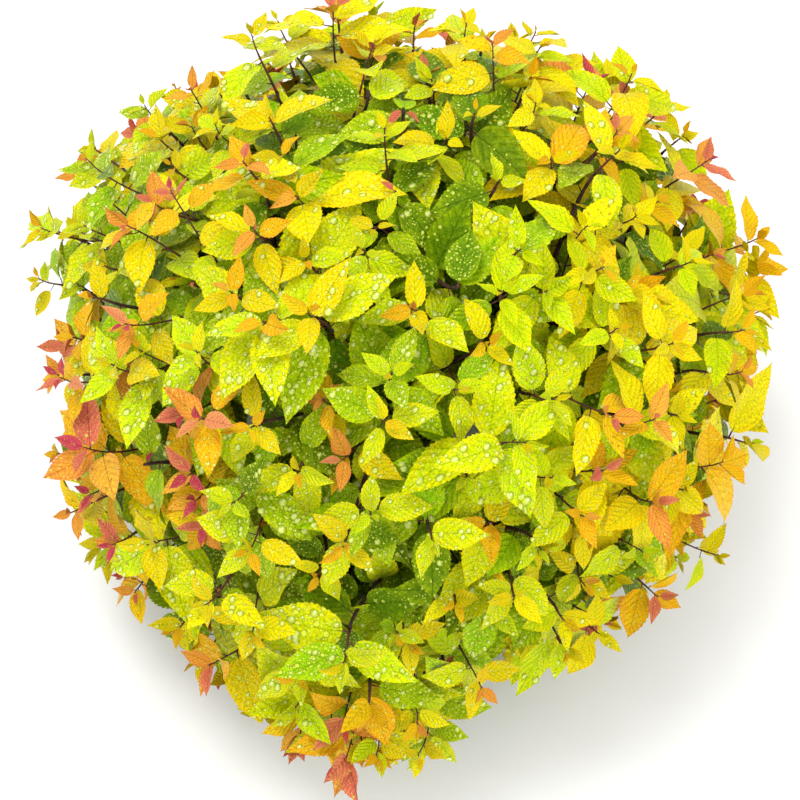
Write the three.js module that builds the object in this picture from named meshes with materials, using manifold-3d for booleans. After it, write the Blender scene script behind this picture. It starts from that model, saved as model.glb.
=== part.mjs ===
// A young golden-leaved spirea: a low domed shrub that grows as a clump from one root crown.
// Millimetres, +Z up. The origin is the centre of the flat cut under the root crown, at ground level.
//
// Nine stems rise from the root crown. The eight outer ones end in a mass of foliage at the shoulder of the
// dome, and each carries one bough that ends in a mass of the skirt. The middle stem ends in the top mass and
// carries the boughs of the upper ring. Each mass is one solid: shoots that branch from a leading shoot, with
// leaves fused on. A mass keeps to its own sector of the dome, seen from the crown's centre.
import * as THREE from "three";
import { mergeVertices } from "three/addons/utils/BufferGeometryUtils.js";
import Module from "manifold-3d";

const wasm = await Module();
wasm.setup();

// ---- Driving dimensions ----
const SPREAD_ACROSS = 212; // from the axis to the furthest ordinary shoot tips, along X
const SPREAD_DEEP = 202; // the same along Y
const DOME_RISE = 214; // from the crown's centre up to the top shoot's tip
const SKIRT_DROP = 150; // vertical half-axis of the dome below the crown's centre
const CENTRE_HEIGHT = 108; // height of the crown's centre, where the foliage is widest
const BARE_SHARE = 0.36; // share of the way from the crown's centre to the surface that is bare limb
const CLEARANCE = 0.3; // gap between neighbouring solids
const WELD = 1e-3; // corners closer together than this are one
const LOWEST_LEAF = 9; // no leaf comes nearer to the ground than this

const ROOT_CROWN = {
  height: 32,
  flareRadius: 22,
  neckRadius: 14.5,
  topRadius: 8,
  lobes: 5,
  lobeDepth: 0.1,
  lean: 0.07,
  sides: 15,
};
const SOCKET_HEIGHT = 18; // where the stems start, inside the root crown
const SOCKET_RING = 8.2; // how far from the axis the outer stems start
const STEM = { baseRadius: 3.7, tipRadius: 1.9, sides: 6, steps: 5 };
const BOUGH = { baseRadius: 2.6, tipRadius: 1.7, sides: 6, steps: 4 };
const SHOOT = { baseRadius: 2.2, tipRadius: 1.2, sides: 3, steps: 3 };
const LEAF = {
  length: 66,
  width: 42,
  stalk: 6, // from the shoot's middle to the foot of the blade
  stalkWidth: 1.8,
  thickness: 1.3, // under the midrib
  fold: 0.14, // how far the sides are raised, as a share of the width
  droop: 0.07, // how far the tip hangs, as a share of the length
  widest: 0.45, // where the blade is widest, as a share of the length
};

// Rings of foliage masses: how many, and the polar angle of the ring from straight up, in degrees.
const RINGS = {
  top: { count: 1, polar: 0, start: 0 },
  upper: { count: 5, polar: 37, start: 54 },
  shoulder: { count: 8, polar: 70, start: 12 },
  skirt: { count: 8, polar: 99, start: 34 },
};
const SIDE_SHOOTS = 5; // shoots that leave each mass's leading shoot
const SIDE_REACH = 0.85; // how far a side shoot's tip lies towards the edge of its sector
const WIDEST_REACH = 0.46; // the furthest a side shoot's tip lies from its mass's axis, as a tangent
const LEADER_LEAVES = 6;
const SIDE_LEAVES = 5;
const LEAF_TURNS = [0, 0.7, -0.7, 1.4, -1.4, 2.3, -2.3, Math.PI]; // turns tried about the shoot, in radians
const LEAF_SIZES = [1, 0.84, 0.68, 0.54]; // sizes tried, as shares of the full size
const LEAF_APART = 0.17; // wished angle between the blades of two leaves, from the crown's centre, in radians
const SIZE_WORTH = 0.25; // how much of that angle a full-sized leaf is worth against one of no size

// Long shoots that break the dome's outline: azimuth and polar angle in degrees, how far they stand out
// as a share of the radius, and how wide the bulge is in degrees. A negative share is a hollow.
const BULGES = [
  { azimuth: 265, polar: 97, rise: 0.2, width: 12 },
  { azimuth: 236, polar: 112, rise: 0.05, width: 8 },
  { azimuth: 153, polar: 76, rise: 0.04, width: 10 },
  { azimuth: 124, polar: 66, rise: -0.055, width: 16 },
  { azimuth: 47, polar: 69, rise: 0.06, width: 10 },
  { azimuth: 13, polar: 84, rise: 0.06, width: 10 },
  { azimuth: 33, polar: 74, rise: -0.07, width: 8 },
  { azimuth: 348, polar: 96, rise: -0.14, width: 12 },
  { azimuth: 300, polar: 100, rise: -0.02, width: 22 },
  { azimuth: 180, polar: 88, rise: -0.11, width: 12 },
  { azimuth: 188, polar: 94, rise: -0.035, width: 22 },
];

// ---- Small helpers ----
const UP = new THREE.Vector3(0, 0, 1);
const CENTRE = new THREE.Vector3(0, 0, CENTRE_HEIGHT);
const GOLDEN_ANGLE = Math.PI * (3 - Math.sqrt(5));
const radians = THREE.MathUtils.degToRad;
const lerp = THREE.MathUtils.lerp;

// A small repeatable random generator: each call of the returned function gives a number from 0 to 1.
function seededRandom(seed) {
  let state = seed >>> 0;
  return () => {
    state = (state + 0x6d2b79f5) >>> 0;
    let t = state;
    t = Math.imul(t ^ (t >>> 15), t | 1);
    t ^= t + Math.imul(t ^ (t >>> 7), t | 61);
    return ((t ^ (t >>> 14)) >>> 0) / 4294967296;
  };
}

// A unit vector from an azimuth about +Z and a polar angle from +Z, both in degrees.
function direction(azimuth, polar) {
  const [a, p] = [radians(azimuth), radians(polar)];
  return new THREE.Vector3(Math.sin(p) * Math.cos(a), Math.sin(p) * Math.sin(a), Math.cos(p));
}

// Two unit vectors square to a given one.
function sideways(axis) {
  const helper = Math.abs(axis.z) < 0.9 ? UP : new THREE.Vector3(1, 0, 0);
  const first = new THREE.Vector3().crossVectors(helper, axis).normalize();
  return [first, new THREE.Vector3().crossVectors(axis, first)];
}

// How far the crown's surface is from the crown's centre in a direction: half of a tall ellipsoid above,
// half of a flat one below, with the bulges added.
function surfaceRadius(toward) {
  const flat = Math.hypot(toward.x / SPREAD_ACROSS, toward.y / SPREAD_DEEP);
  const tall = toward.z / (toward.z > 0 ? DOME_RISE : SKIRT_DROP);
  const plain = 1 / Math.hypot(flat, tall);
  let share = 1;
  for (const bulge of BULGES) {
    const off = toward.angleTo(direction(bulge.azimuth, bulge.polar)) / radians(bulge.width);
    share += bulge.rise * Math.exp(-off * off);
  }
  return plain * share;
}

// ---- Solids ----
// A closed mesh from rings of points: quads between rings, and a flat cap at each end.
function geometryFromRings(rings) {
  const sides = rings[0].length;
  const positions = rings.flat().flatMap((p) => [p.x, p.y, p.z]);
  const index = [];
  for (let r = 0; r + 1 < rings.length; r++)
    for (let s = 0; s < sides; s++) {
      const next = (s + 1) % sides;
      const [a, b, c, d] = [r * sides + s, r * sides + next, (r + 1) * sides + next, (r + 1) * sides + s];
      index.push(a, b, c, a, c, d);
    }
  const last = (rings.length - 1) * sides;
  for (let s = 1; s + 1 < sides; s++) {
    index.push(0, s + 1, s);
    index.push(last, last + s, last + s + 1);
  }
  const geometry = new THREE.BufferGeometry();
  geometry.setAttribute("position", new THREE.Float32BufferAttribute(positions, 3));
  geometry.setIndex(index);
  return geometry;
}

// A tapering limb of flat sides along a curve. extra grows it all round, for cutting its neighbours clear.
function limbGeometry(curve, form, extra = 0) {
  const frames = curve.computeFrenetFrames(form.steps);
  const rings = [];
  for (let i = 0; i <= form.steps; i++) {
    const share = i / form.steps;
    const radius = lerp(form.baseRadius, form.tipRadius, share) + extra;
    const middle = curve.getPointAt(share);
    const ring = [];
    for (let s = 0; s < form.sides; s++) {
      const angle = (2 * Math.PI * s) / form.sides;
      ring.push(
        middle.clone()
          .addScaledVector(frames.normals[i], radius * Math.cos(angle))
          .addScaledVector(frames.binormals[i], radius * Math.sin(angle)),
      );
    }
    rings.push(ring);
  }
  return geometryFromRings(rings);
}

// The root crown: a short leaning stump, lobed where the roots leave it, closed by a low dome.
function rootCrownGeometry(extra = 0) {
  const { height, flareRadius, neckRadius, topRadius, lobes, lobeDepth, lean, sides } = ROOT_CROWN;
  const profile = [
    [0, flareRadius, 1],
    [0.1, lerp(flareRadius, neckRadius, 0.55), 0.8],
    [0.28, lerp(flareRadius, neckRadius, 0.9), 0.45],
    [0.6, neckRadius, 0.2],
    [0.86, lerp(neckRadius, topRadius, 0.35), 0.1],
    [1, topRadius, 0],
  ];
  const rings = profile.map(([share, radius, lobed]) => {
    const ring = [];
    const level = share === 0 ? 0 : share * height + extra;
    for (let s = 0; s < sides; s++) {
      const angle = (2 * Math.PI * s) / sides;
      const r = (radius + extra) * (1 + lobeDepth * lobed * Math.cos(lobes * angle));
      ring.push(new THREE.Vector3(r * Math.cos(angle) + lean * level, r * Math.sin(angle), level));
    }
    return ring;
  });
  return geometryFromRings(rings);
}

// A leaf of ten faces: a root point inside the shoot, the two corners and the keel at the foot of the blade,
// two side corners and a tip. With tucked set, the root point is drawn up to the foot of the blade.
function leafGeometry(root, along, facing, size, tucked = false) {
  const across = new THREE.Vector3().crossVectors(facing, along).normalize();
  const length = LEAF.length * size;
  const width = LEAF.width * size;
  const at = (a, b, c) =>
    root.clone().addScaledVector(along, a).addScaledVector(across, b).addScaledVector(facing, c - LEAF.droop * a);
  const corners = [
    at(tucked ? LEAF.stalk - 1 : -0.9, 0, -0.4),
    at(LEAF.stalk, LEAF.stalkWidth / 2, 0),
    at(LEAF.stalk, -LEAF.stalkWidth / 2, 0),
    at(LEAF.stalk + 1, 0, -LEAF.thickness),
    at(LEAF.widest * length, width / 2, LEAF.fold * width),
    at(LEAF.widest * length, -width / 2, LEAF.fold * width),
    at(length, 0, 0),
  ];
  const [foot, neckLeft, neckRight, keel, left, right, tip] = [0, 1, 2, 3, 4, 5, 6];
  const geometry = new THREE.BufferGeometry();
  geometry.setAttribute("position", new THREE.Float32BufferAttribute(corners.flatMap((p) => p.toArray()), 3));
  geometry.setIndex([
    foot, neckRight, neckLeft, neckLeft, neckRight, tip, neckRight, right, tip, neckLeft, tip, left,
    foot, neckLeft, keel, foot, keel, neckRight,
    keel, neckLeft, left, keel, left, tip, keel, tip, right, keel, right, neckRight,
  ]);
  return geometry;
}

// A manifold-3d solid from a closed geometry.
function solidFrom(geometry) {
  const merged = mergeVertices(geometry, WELD);
  return new wasm.Manifold(
    new wasm.Mesh({
      numProp: 3,
      vertProperties: merged.attributes.position.array,
      triVerts: new Uint32Array(merged.index.array),
    }),
  );
}

// The largest outer body of a solid: drops loose scraps and fills sealed hollows. Corners that lie closer
// together than the weld are joined before the second look, because that can part a hollow from its skin.
function mainBody(solid) {
  const largest = (whole) => whole.decompose().reduce((best, body) => (body.volume() > best.volume() ? body : best));
  return largest(solidFrom(new THREE.BufferGeometry().copy(geometryFrom(largest(solid))).deleteAttribute("normal")));
}

function geometryFrom(solid) {
  const mesh = solid.getMesh();
  const geometry = new THREE.BufferGeometry();
  geometry.setAttribute("position", new THREE.BufferAttribute(new Float32Array(mesh.vertProperties), 3));
  geometry.setIndex(new THREE.BufferAttribute(new Uint32Array(mesh.triVerts), 1));
  geometry.computeVertexNormals();
  return geometry;
}

// ---- The plan of the crown: one entry for each foliage mass ----
function planMasses() {
  const masses = [];
  for (const [ring, { count, polar, start }] of Object.entries(RINGS))
    for (let k = 0; k < count; k++) {
      const random = seededRandom(1000 + masses.length);
      const azimuth = start + (360 * k) / count + (random() - 0.5) * 8;
      const axis = direction(azimuth, polar + (count > 1 ? (random() - 0.5) * 6 : 0));
      const foot = CENTRE.clone().addScaledVector(axis, BARE_SHARE * surfaceRadius(axis));
      masses.push({ name: `foliage_${ring}_${k + 1}`, ring, k, azimuth, axis, foot, seed: 1 + masses.length });
    }
  return masses;
}

// A smooth curve that leaves one point in one direction and reaches another point in another direction.
function arch(from, leaving, to, arriving, reach = 0.36) {
  const span = from.distanceTo(to) * reach;
  return new THREE.CubicBezierCurve3(
    from,
    from.clone().addScaledVector(leaving, span),
    to.clone().addScaledVector(arriving, -span),
    to,
  );
}

// The direction in which a limb reaches its mass: outward, turned up towards the light.
function arrival(mass) {
  return mass.axis.clone().addScaledVector(UP, 0.35).normalize();
}

function planStems(masses) {
  const stems = [];
  const socket = new THREE.Vector3(ROOT_CROWN.lean * SOCKET_HEIGHT, 0, SOCKET_HEIGHT);
  for (const mass of masses.filter((m) => m.ring === "top" || m.ring === "shoulder")) {
    const middle = mass.ring === "top";
    const outward = middle ? new THREE.Vector3() : direction(mass.azimuth, 90);
    const from = socket.clone().addScaledVector(outward, SOCKET_RING);
    const leaving = UP.clone().addScaledVector(outward, 0.62).normalize();
    const name = middle ? "stem_middle" : `stem_${mass.k + 1}`;
    stems.push({ name, mass, form: STEM, curve: arch(from, leaving, mass.foot, arrival(mass)) });
  }
  return stems;
}

// Each upper bough leaves the middle stem, and each skirt bough the outer stem nearest to it.
function planBoughs(masses, stems) {
  const boughs = [];
  const middle = stems.find((stem) => stem.mass.ring === "top");
  for (const mass of masses.filter((m) => m.ring === "upper")) {
    const share = 0.2 + 0.09 * ((mass.k * 2) % RINGS.upper.count);
    boughs.push(boughFrom(middle, share, mass));
  }
  for (const mass of masses.filter((m) => m.ring === "skirt")) {
    const parent = stems
      .filter((stem) => stem.mass.ring === "shoulder")
      .reduce((best, stem) => (turnBetween(stem.mass, mass) < turnBetween(best.mass, mass) ? stem : best));
    boughs.push(boughFrom(parent, 0.42, mass));
  }
  return boughs;
}

// The turn about +Z from a stem to a skirt mass, counted anticlockwise, so that no two share a stem.
function turnBetween(from, to) {
  return (((to.azimuth - from.azimuth) % 360) + 360) % 360;
}

function boughFrom(stem, share, mass) {
  const from = stem.curve.getPointAt(share);
  const leaving = mass.foot.clone().sub(from).normalize()
    .addScaledVector(stem.curve.getTangentAt(share), 0.5)
    .normalize();
  const curve = arch(from, leaving, mass.foot, arrival(mass), 0.3);
  return { name: `bough_${mass.ring}_${mass.k + 1}`, mass, form: BOUGH, curve, parent: stem };
}

// ---- Foliage ----
// The walls between a mass's sector and the others': each is a plane through the crown's centre.
function sectorWalls(mass, masses) {
  return masses.filter((other) => other !== mass)
    .map((other) => mass.axis.clone().sub(other.axis).normalize());
}

// Whether all the corners of a geometry stay inside the sector, clear of its walls and of the ground.
function staysInside(geometry, walls) {
  const p = geometry.attributes.position;
  const corner = new THREE.Vector3();
  for (let i = 0; i < p.count; i++) {
    corner.fromBufferAttribute(p, i);
    if (corner.z < LOWEST_LEAF) return false;
    corner.sub(CENTRE);
    if (walls.some((wall) => corner.dot(wall) < CLEARANCE)) return false;
  }
  return true;
}

// The shoots of one mass: a leading shoot from its foot to the surface, and side shoots round it.
function planShoots(mass, walls, random) {
  const start = mass.foot.clone().addScaledVector(arrival(mass), CLEARANCE);
  const tipAt = (toward, share) => CENTRE.clone().addScaledVector(toward, surfaceRadius(toward) * share);
  const leader = arch(start, arrival(mass), tipAt(mass.axis, 0.8), mass.axis, 0.3);
  const shoots = [{ curve: leader, leaves: LEADER_LEAVES, form: SHOOT }];
  const [first, second] = sideways(mass.axis);
  const phase = random() * 2 * Math.PI;
  for (let j = 0; j < SIDE_SHOOTS; j++) {
    const angle = phase + (2 * Math.PI * (j + 0.3 * (random() - 0.5))) / SIDE_SHOOTS;
    const outward = first.clone().multiplyScalar(Math.cos(angle)).addScaledVector(second, Math.sin(angle));
    const edges = walls.filter((wall) => outward.dot(wall) < 0)
      .map((wall) => -mass.axis.dot(wall) / outward.dot(wall));
    const spread = Math.min(WIDEST_REACH, SIDE_REACH * Math.min(...edges)) * (0.85 + 0.3 * random());
    const toward = mass.axis.clone().addScaledVector(outward, spread).normalize();
    const share = 0.06 + 0.1 * ((j * 2) % SIDE_SHOOTS);
    const from = leader.getPointAt(share);
    const tip = tipAt(toward, 0.76 + 0.1 * random());
    const leaving = tip.clone().sub(from).normalize().lerp(leader.getTangentAt(share), 0.3).normalize();
    const arriving = toward.clone().addScaledVector(UP, 0.25).normalize();
    const form = { ...SHOOT, baseRadius: 1.8, steps: 2 };
    shoots.push({ curve: arch(from, leaving, tip, arriving, 0.3), leaves: SIDE_LEAVES, form });
  }
  return shoots;
}

// Where a leaf points and faces: it leaves the shoot at an angle that narrows towards the tip, is drawn into
// the crown's surface as shingles are, hangs a little, and turns its face to the light.
function leafPose(point, tangent, turn, share) {
  const light = point.clone().sub(CENTRE).normalize().multiplyScalar(0.75).addScaledVector(UP, 0.5).normalize();
  const [first, second] = sideways(tangent);
  const opening = radians(lerp(70, 40, share));
  const along = tangent.clone().multiplyScalar(Math.cos(opening))
    .addScaledVector(first, Math.sin(opening) * Math.cos(turn))
    .addScaledVector(second, Math.sin(opening) * Math.sin(turn));
  along.addScaledVector(light, -0.4 * along.dot(light)).addScaledVector(UP, -0.12).normalize();
  const facing = light.clone().addScaledVector(along, -light.dot(along)).normalize();
  return { along, facing };
}

// The leaf that fits best at one point of a shoot: inside its sector, clear of the limbs, of the other leaves
// and of the shoots, and the best in size and in how far it stands apart from the leaves in covers, which holds
// the directions of their blades from the crown's centre. Null where none fits.
function fitLeaf(point, tangent, turn, share, sector, grown, covers) {
  let best = null;
  for (const shrink of LEAF_SIZES) {
    for (const extraTurn of LEAF_TURNS) {
      const { along, facing } = leafPose(point, tangent, turn + extraTurn, share);
      const size = shrink * lerp(1, 0.86, share);
      const covered = [0.35, 0.6, 0.85].map((s) =>
        point.clone().addScaledVector(along, s * LEAF.length * size).sub(CENTRE).normalize());
      const gaps = covers.flatMap((cover) => covered.map((c) => cover.distanceTo(c)));
      const worth = Math.min(LEAF_APART, ...gaps) + SIZE_WORTH * shrink;
      if (best && worth <= best.worth) continue;
      const geometry = leafGeometry(point, along, facing, size);
      if (!sector.holds(geometry)) continue;
      const blade = solidFrom(leafGeometry(point, along, facing, size, true));
      if (blade.intersect(grown).numTri() > 0) continue;
      best = { solid: solidFrom(geometry), covered, worth };
    }
  }
  return best;
}

// The space of one mass: its sector's walls, the ground, and the limbs that pass through it.
function sectorOf(mass, masses, limbShell) {
  const walls = sectorWalls(mass, masses);
  const clearOfLimbs = (geometry) => solidFrom(geometry).intersect(limbShell).numTri() === 0;
  return { walls, holds: (geometry) => staysInside(geometry, walls) && clearOfLimbs(geometry) };
}

// One mass of foliage: its shoots joined, then leaf after leaf fused on along each shoot. A side shoot that
// would leave the sector is left out.
function foliageSolid(mass, masses, limbShell) {
  const random = seededRandom(mass.seed * 7919);
  const sector = sectorOf(mass, masses, limbShell);
  const shoots = planShoots(mass, sector.walls, random)
    .map((shoot) => ({ ...shoot, geometry: limbGeometry(shoot.curve, shoot.form) }))
    .filter((shoot, order) => order === 0 || sector.holds(shoot.geometry));
  let grown = wasm.Manifold.union(shoots.map((shoot) => solidFrom(shoot.geometry)));
  const covers = [];
  let turn = random() * 2 * Math.PI;
  shoots.forEach((shoot, order) => {
    for (let n = 0; n < shoot.leaves; n++) {
      const share = (n + 1) / shoot.leaves;
      turn += GOLDEN_ANGLE;
      const place = lerp(order ? 0.36 : 0.2, 0.985, share);
      const point = shoot.curve.getPointAt(place);
      const leaf = fitLeaf(point, shoot.curve.getTangentAt(place), turn, share, sector, grown, covers);
      if (!leaf) continue;
      grown = grown.add(leaf.solid);
      covers.push(...leaf.covered);
    }
  });
  return mainBody(grown);
}

// ---- Materials ----
const finish = (color, roughness) => new THREE.MeshStandardMaterial({ color, roughness, metalness: 0 });
const BARK = finish(0x5b4236, 0.85);
const LEAF_TINTS = {
  lime: finish(0x9ac21c, 0.5),
  yellow: finish(0xd8d51a, 0.5),
  gold: finish(0xedb71e, 0.5),
};

// The warm tints lie on the far and right-hand side of the dome, where the young growth gets most light.
function tintOf(mass) {
  const warmth = mass.axis.y * 0.6 + mass.axis.x * 0.5 + mass.axis.z * 0.25;
  if (warmth > 0.5) return LEAF_TINTS.gold;
  return warmth > 0.12 ? LEAF_TINTS.yellow : LEAF_TINTS.lime;
}

// ---- Assembly ----
const shrub = new THREE.Group();

function addPart(name, solid, material) {
  const mesh = new THREE.Mesh(geometryFrom(solid), material);
  mesh.name = name;
  shrub.add(mesh);
}

const masses = planMasses();
const stems = planStems(masses);
const boughs = planBoughs(masses, stems);
const rootCrownShell = solidFrom(rootCrownGeometry(CLEARANCE));
const limbShell = wasm.Manifold.union([
  rootCrownShell,
  ...[...stems, ...boughs].map((limb) => solidFrom(limbGeometry(limb.curve, limb.form, CLEARANCE))),
]);

addPart("root_crown", solidFrom(rootCrownGeometry()), BARK);
for (const stem of stems) {
  const solid = solidFrom(limbGeometry(stem.curve, stem.form)).subtract(rootCrownShell);
  addPart(stem.name, mainBody(solid), BARK);
}
for (const bough of boughs) {
  const shell = solidFrom(limbGeometry(bough.parent.curve, bough.parent.form, CLEARANCE));
  const solid = solidFrom(limbGeometry(bough.curve, bough.form)).subtract(shell);
  addPart(bough.name, mainBody(solid), BARK);
}
for (const mass of masses) addPart(mass.name, foliageSolid(mass, masses, limbShell), tintOf(mass));

export default shrub;
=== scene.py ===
# %% [markdown]
# # A golden-leaved spirea in spring
# This lesson dresses a young spirea, a low domed shrub, in Blender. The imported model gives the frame: a root
# crown, nine stems, thirteen boughs and twenty-two masses of foliage, in metres, with the ground at zero. The
# script grows the same shoots again by the same rule, carries them on to finer twigs, and hangs some
# thousands of toothed leaves on them. What is drawn by chance has a seed, so each run gives the same shrub.

# %% Load the frame
import bpy
import numpy as np
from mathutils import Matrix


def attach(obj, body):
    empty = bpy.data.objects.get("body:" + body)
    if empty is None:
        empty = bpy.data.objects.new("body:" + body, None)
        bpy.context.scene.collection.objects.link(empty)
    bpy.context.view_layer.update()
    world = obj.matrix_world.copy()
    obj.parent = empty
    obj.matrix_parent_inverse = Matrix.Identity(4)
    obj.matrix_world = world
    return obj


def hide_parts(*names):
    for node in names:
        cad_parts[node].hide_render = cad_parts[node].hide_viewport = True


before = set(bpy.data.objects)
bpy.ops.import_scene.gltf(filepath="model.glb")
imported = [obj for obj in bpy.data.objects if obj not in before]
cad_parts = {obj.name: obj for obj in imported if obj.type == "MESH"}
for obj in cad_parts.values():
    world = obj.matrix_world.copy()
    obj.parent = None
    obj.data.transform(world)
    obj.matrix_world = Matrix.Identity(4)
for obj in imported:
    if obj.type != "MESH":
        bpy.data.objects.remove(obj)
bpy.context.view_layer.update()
node_names = list(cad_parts)

# %% [markdown]
# ## Camera
# The shrub is seen from a little over a metre away, steeply from above, as a person sees it who stands over
# it. A long lens keeps the dome from bulging. A Track To constraint could aim the camera. Here it sits on a
# sphere round the crown, straight in front and raised by one angle, so the same angle turns it to look back.

# %% Camera
CAMERA_ELEVATION = np.radians(62)
CAMERA_DISTANCE = 1.25  # metres
LOOK_AT = np.array([0.002, -0.021, 0.113])
LENS = 107.5  # millimetres
FARTHEST_SEEN = 50


def add_camera():
    """Places the camera at LOOK_AT + distance * (0, -cos elevation, sin elevation), looking back."""
    data = bpy.data.cameras.new("camera")
    data.lens = LENS
    data.clip_end = FARTHEST_SEEN
    camera = bpy.data.objects.new("camera", data)
    away = np.array([0, -np.cos(CAMERA_ELEVATION), np.sin(CAMERA_ELEVATION)])
    camera.location = LOOK_AT + CAMERA_DISTANCE * away
    camera.rotation_euler = (np.pi / 2 - CAMERA_ELEVATION, 0, 0)
    bpy.context.scene.collection.objects.link(camera)
    bpy.context.scene.camera = camera
    return camera


camera = add_camera()
print("camera at", [round(v, 3) for v in camera.location], "lens", LENS)

# %% [markdown]
# ## Light and floor
# Leaves after rain are shown by the light of an overcast sky: soft, from all over, and a little stronger from
# above. A sky image could give that too, but an even white world is simpler and has no bright spots to
# remove. Two large round lamps add to it: one overhead, a little to the back left, makes the glints on wet
# leaves, and a weaker one at the front right brightens the lower rim. The floor is a plain pale sheet.

# %% Light and floor
SKY_STRENGTH = 1.06
SKY_COLOUR = (1.0, 1.0, 1.0, 1)
LAMPS = {  # place and width in metres, power in watts
    "lamp_overhead": {"place": (-0.5, 0.3, 2.3), "size": 1.1, "power": 26.5},
    "lamp_front": {"place": (1.2, -1.8, 1.7), "size": 1.2, "power": 14},
}


def node_of(tree, kind, **inputs):
    """Adds one shader node and sets the sockets that are named, with _ for a space."""
    made = tree.nodes.new(kind)
    for name, value in inputs.items():
        made.inputs[name.replace("_", " ")].default_value = value
    return made


def add_light():
    """An even sky, and round lamps that shine from their place towards the foot of the shrub."""
    scene = bpy.context.scene
    scene.view_settings.view_transform = "Standard"
    world = bpy.data.worlds.new("sky")
    world.use_nodes = True
    sky = world.node_tree.nodes["Background"]
    sky.inputs["Color"].default_value = SKY_COLOUR
    sky.inputs["Strength"].default_value = SKY_STRENGTH
    scene.world = world
    for name, lamp in LAMPS.items():
        data = bpy.data.lights.new(name, "AREA")
        data.shape = "DISK"
        data.size = lamp["size"]
        data.energy = lamp["power"]
        light = bpy.data.objects.new(name, data)
        light.location = lamp["place"]
        light.rotation_mode = "QUATERNION"
        light.rotation_quaternion = light.location.to_track_quat("Z", "Y")
        scene.collection.objects.link(light)


add_light()
print("lamps:", list(LAMPS))


# %% [markdown]
# ## From arrays to a mesh
# Each kind of thing on the shrub, such as all the lime leaves, is one mesh. A leaf could also be an object of
# its own, copied thousands of times, but then each copy needs a place and a turn. Instead all points are
# worked out as one numpy array and handed over at once with foreach_set, which is hundreds of times faster
# than a loop. The mesh is in place already, so the object stays at the origin, unturned.

# %% From arrays to a mesh
FLOOR_HALF = 4.0
LAYOUT = "OFBake"  # the flat layout's name


def mesh_piece(name, points, faces, flat=None):
    """One smooth mesh: points (n, 3) in metres, faces (m, 3 or 4) of point numbers, flat (n, 2) its
    layout."""
    mesh = bpy.data.meshes.new(name)
    corners = faces.astype(np.int32).ravel()
    mesh.vertices.add(len(points))
    mesh.vertices.foreach_set("co", points.astype(np.float32).ravel())
    mesh.loops.add(len(corners))
    mesh.loops.foreach_set("vertex_index", corners)
    mesh.polygons.add(len(faces))
    mesh.polygons.foreach_set("loop_start", np.arange(0, len(corners), faces.shape[1], dtype=np.int32))
    mesh.polygons.foreach_set("use_smooth", np.ones(len(faces), dtype=bool))
    if flat is not None:
        layer = mesh.uv_layers.new(name=LAYOUT)
        layer.data.foreach_set("uv", flat[corners].astype(np.float32).ravel())
    mesh.update(calc_edges=True)
    mesh.validate()
    piece = bpy.data.objects.new(name, mesh)
    bpy.context.scene.collection.objects.link(piece)
    return piece


def floor_piece():
    """A flat square, twice FLOOR_HALF a side, at the level of the ground."""
    corners = np.array([[-1, -1, 0], [1, -1, 0], [1, 1, 0], [-1, 1, 0]])
    floor = mesh_piece("floor", corners * FLOOR_HALF, np.array([[0, 1, 2, 3]]))
    return floor


floor = floor_piece()
print("floor:", len(floor.data.polygons), "face")


# %% [markdown]
# ## The plan of the crown
# A shrub like this has a rule: stems fan out from the root crown, each ends in a mass of foliage, and each
# mass keeps to its own sector of the dome. The limbs could be read back from the frame's meshes, but a mesh
# doesn't say where its middle line runs. So the plan is worked out again by the source's rule, with the same
# seeds, and every shoot starts on the limb that the frame has there. Directions are seen from the crown's
# centre: the azimuth runs round from the right, and the polar angle down from the top.

# %% Sizes of the crown
ACROSS, DEEP = 0.212, 0.202  # half the width and half the depth
RISE, DROP = 0.214, 0.150  # from the centre up to the top and down to the hem
CENTRE = np.array([0, 0, 0.108])
BARE_SHARE = 0.36  # the share of each radius that carries no foliage
UP = np.array([0.0, 0.0, 1.0])
GOLDEN_ANGLE = np.pi * (3 - np.sqrt(5))
RINGS = {
    "top": {"count": 1, "polar": 0, "start": 0},
    "upper": {"count": 5, "polar": 37, "start": 54},
    "shoulder": {"count": 8, "polar": 70, "start": 12},
    "skirt": {"count": 8, "polar": 99, "start": 34},
}
# long shoots and hollows: azimuth, polar angle, share of the radius, width in degrees
BULGES = [
    (265, 97, 0.2, 12),
    (236, 112, 0.05, 8),
    (153, 76, 0.04, 10),
    (124, 66, -0.055, 16),
    (47, 69, 0.06, 10),
    (13, 84, 0.06, 10),
    (33, 74, -0.07, 8),
    (348, 96, -0.14, 12),
    (300, 100, -0.02, 22),
    (180, 88, -0.11, 12),
    (188, 94, -0.035, 22),
]
print("masses planned:", sum(ring["count"] for ring in RINGS.values()))


# %% Directions and the crown's surface
def seeded_random(seed):
    """Numbers from 0 to 1: a 32-bit counter, stirred by two multiplications and three shifts."""
    mask = 0xFFFFFFFF
    state = [seed & mask]

    def number():
        state[0] = (state[0] + 0x6D2B79F5) & mask
        t = state[0]
        t = ((t ^ (t >> 15)) * (t | 1)) & mask
        t ^= (t + (t ^ (t >> 7)) * (t | 61)) & mask
        return ((t ^ (t >> 14)) & mask) / 4294967296

    return number


def unit(vectors):
    """Vectors (..., 3) divided by their lengths."""
    return vectors / np.maximum(np.linalg.norm(vectors, axis=-1, keepdims=True), 1e-12)


def direction(azimuth, polar):
    """(sin p cos a, sin p sin a, cos p), with the angles in degrees; arrays give (..., 3)."""
    a, p = np.radians(azimuth), np.radians(polar)
    return np.stack([np.sin(p) * np.cos(a), np.sin(p) * np.sin(a), np.cos(p) + 0 * a], axis=-1)


def sideways(axis):
    """Two unit vectors square to each axis (..., 3): a helper crossed with it, and it with that. The helper
    is UP, or the x axis where the axis is nearly upright."""
    helper = np.where(np.abs(axis[..., 2:]) < 0.9, UP, np.array([1.0, 0, 0]))
    first = unit(np.cross(helper, axis))
    return first, np.cross(axis, first)


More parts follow.
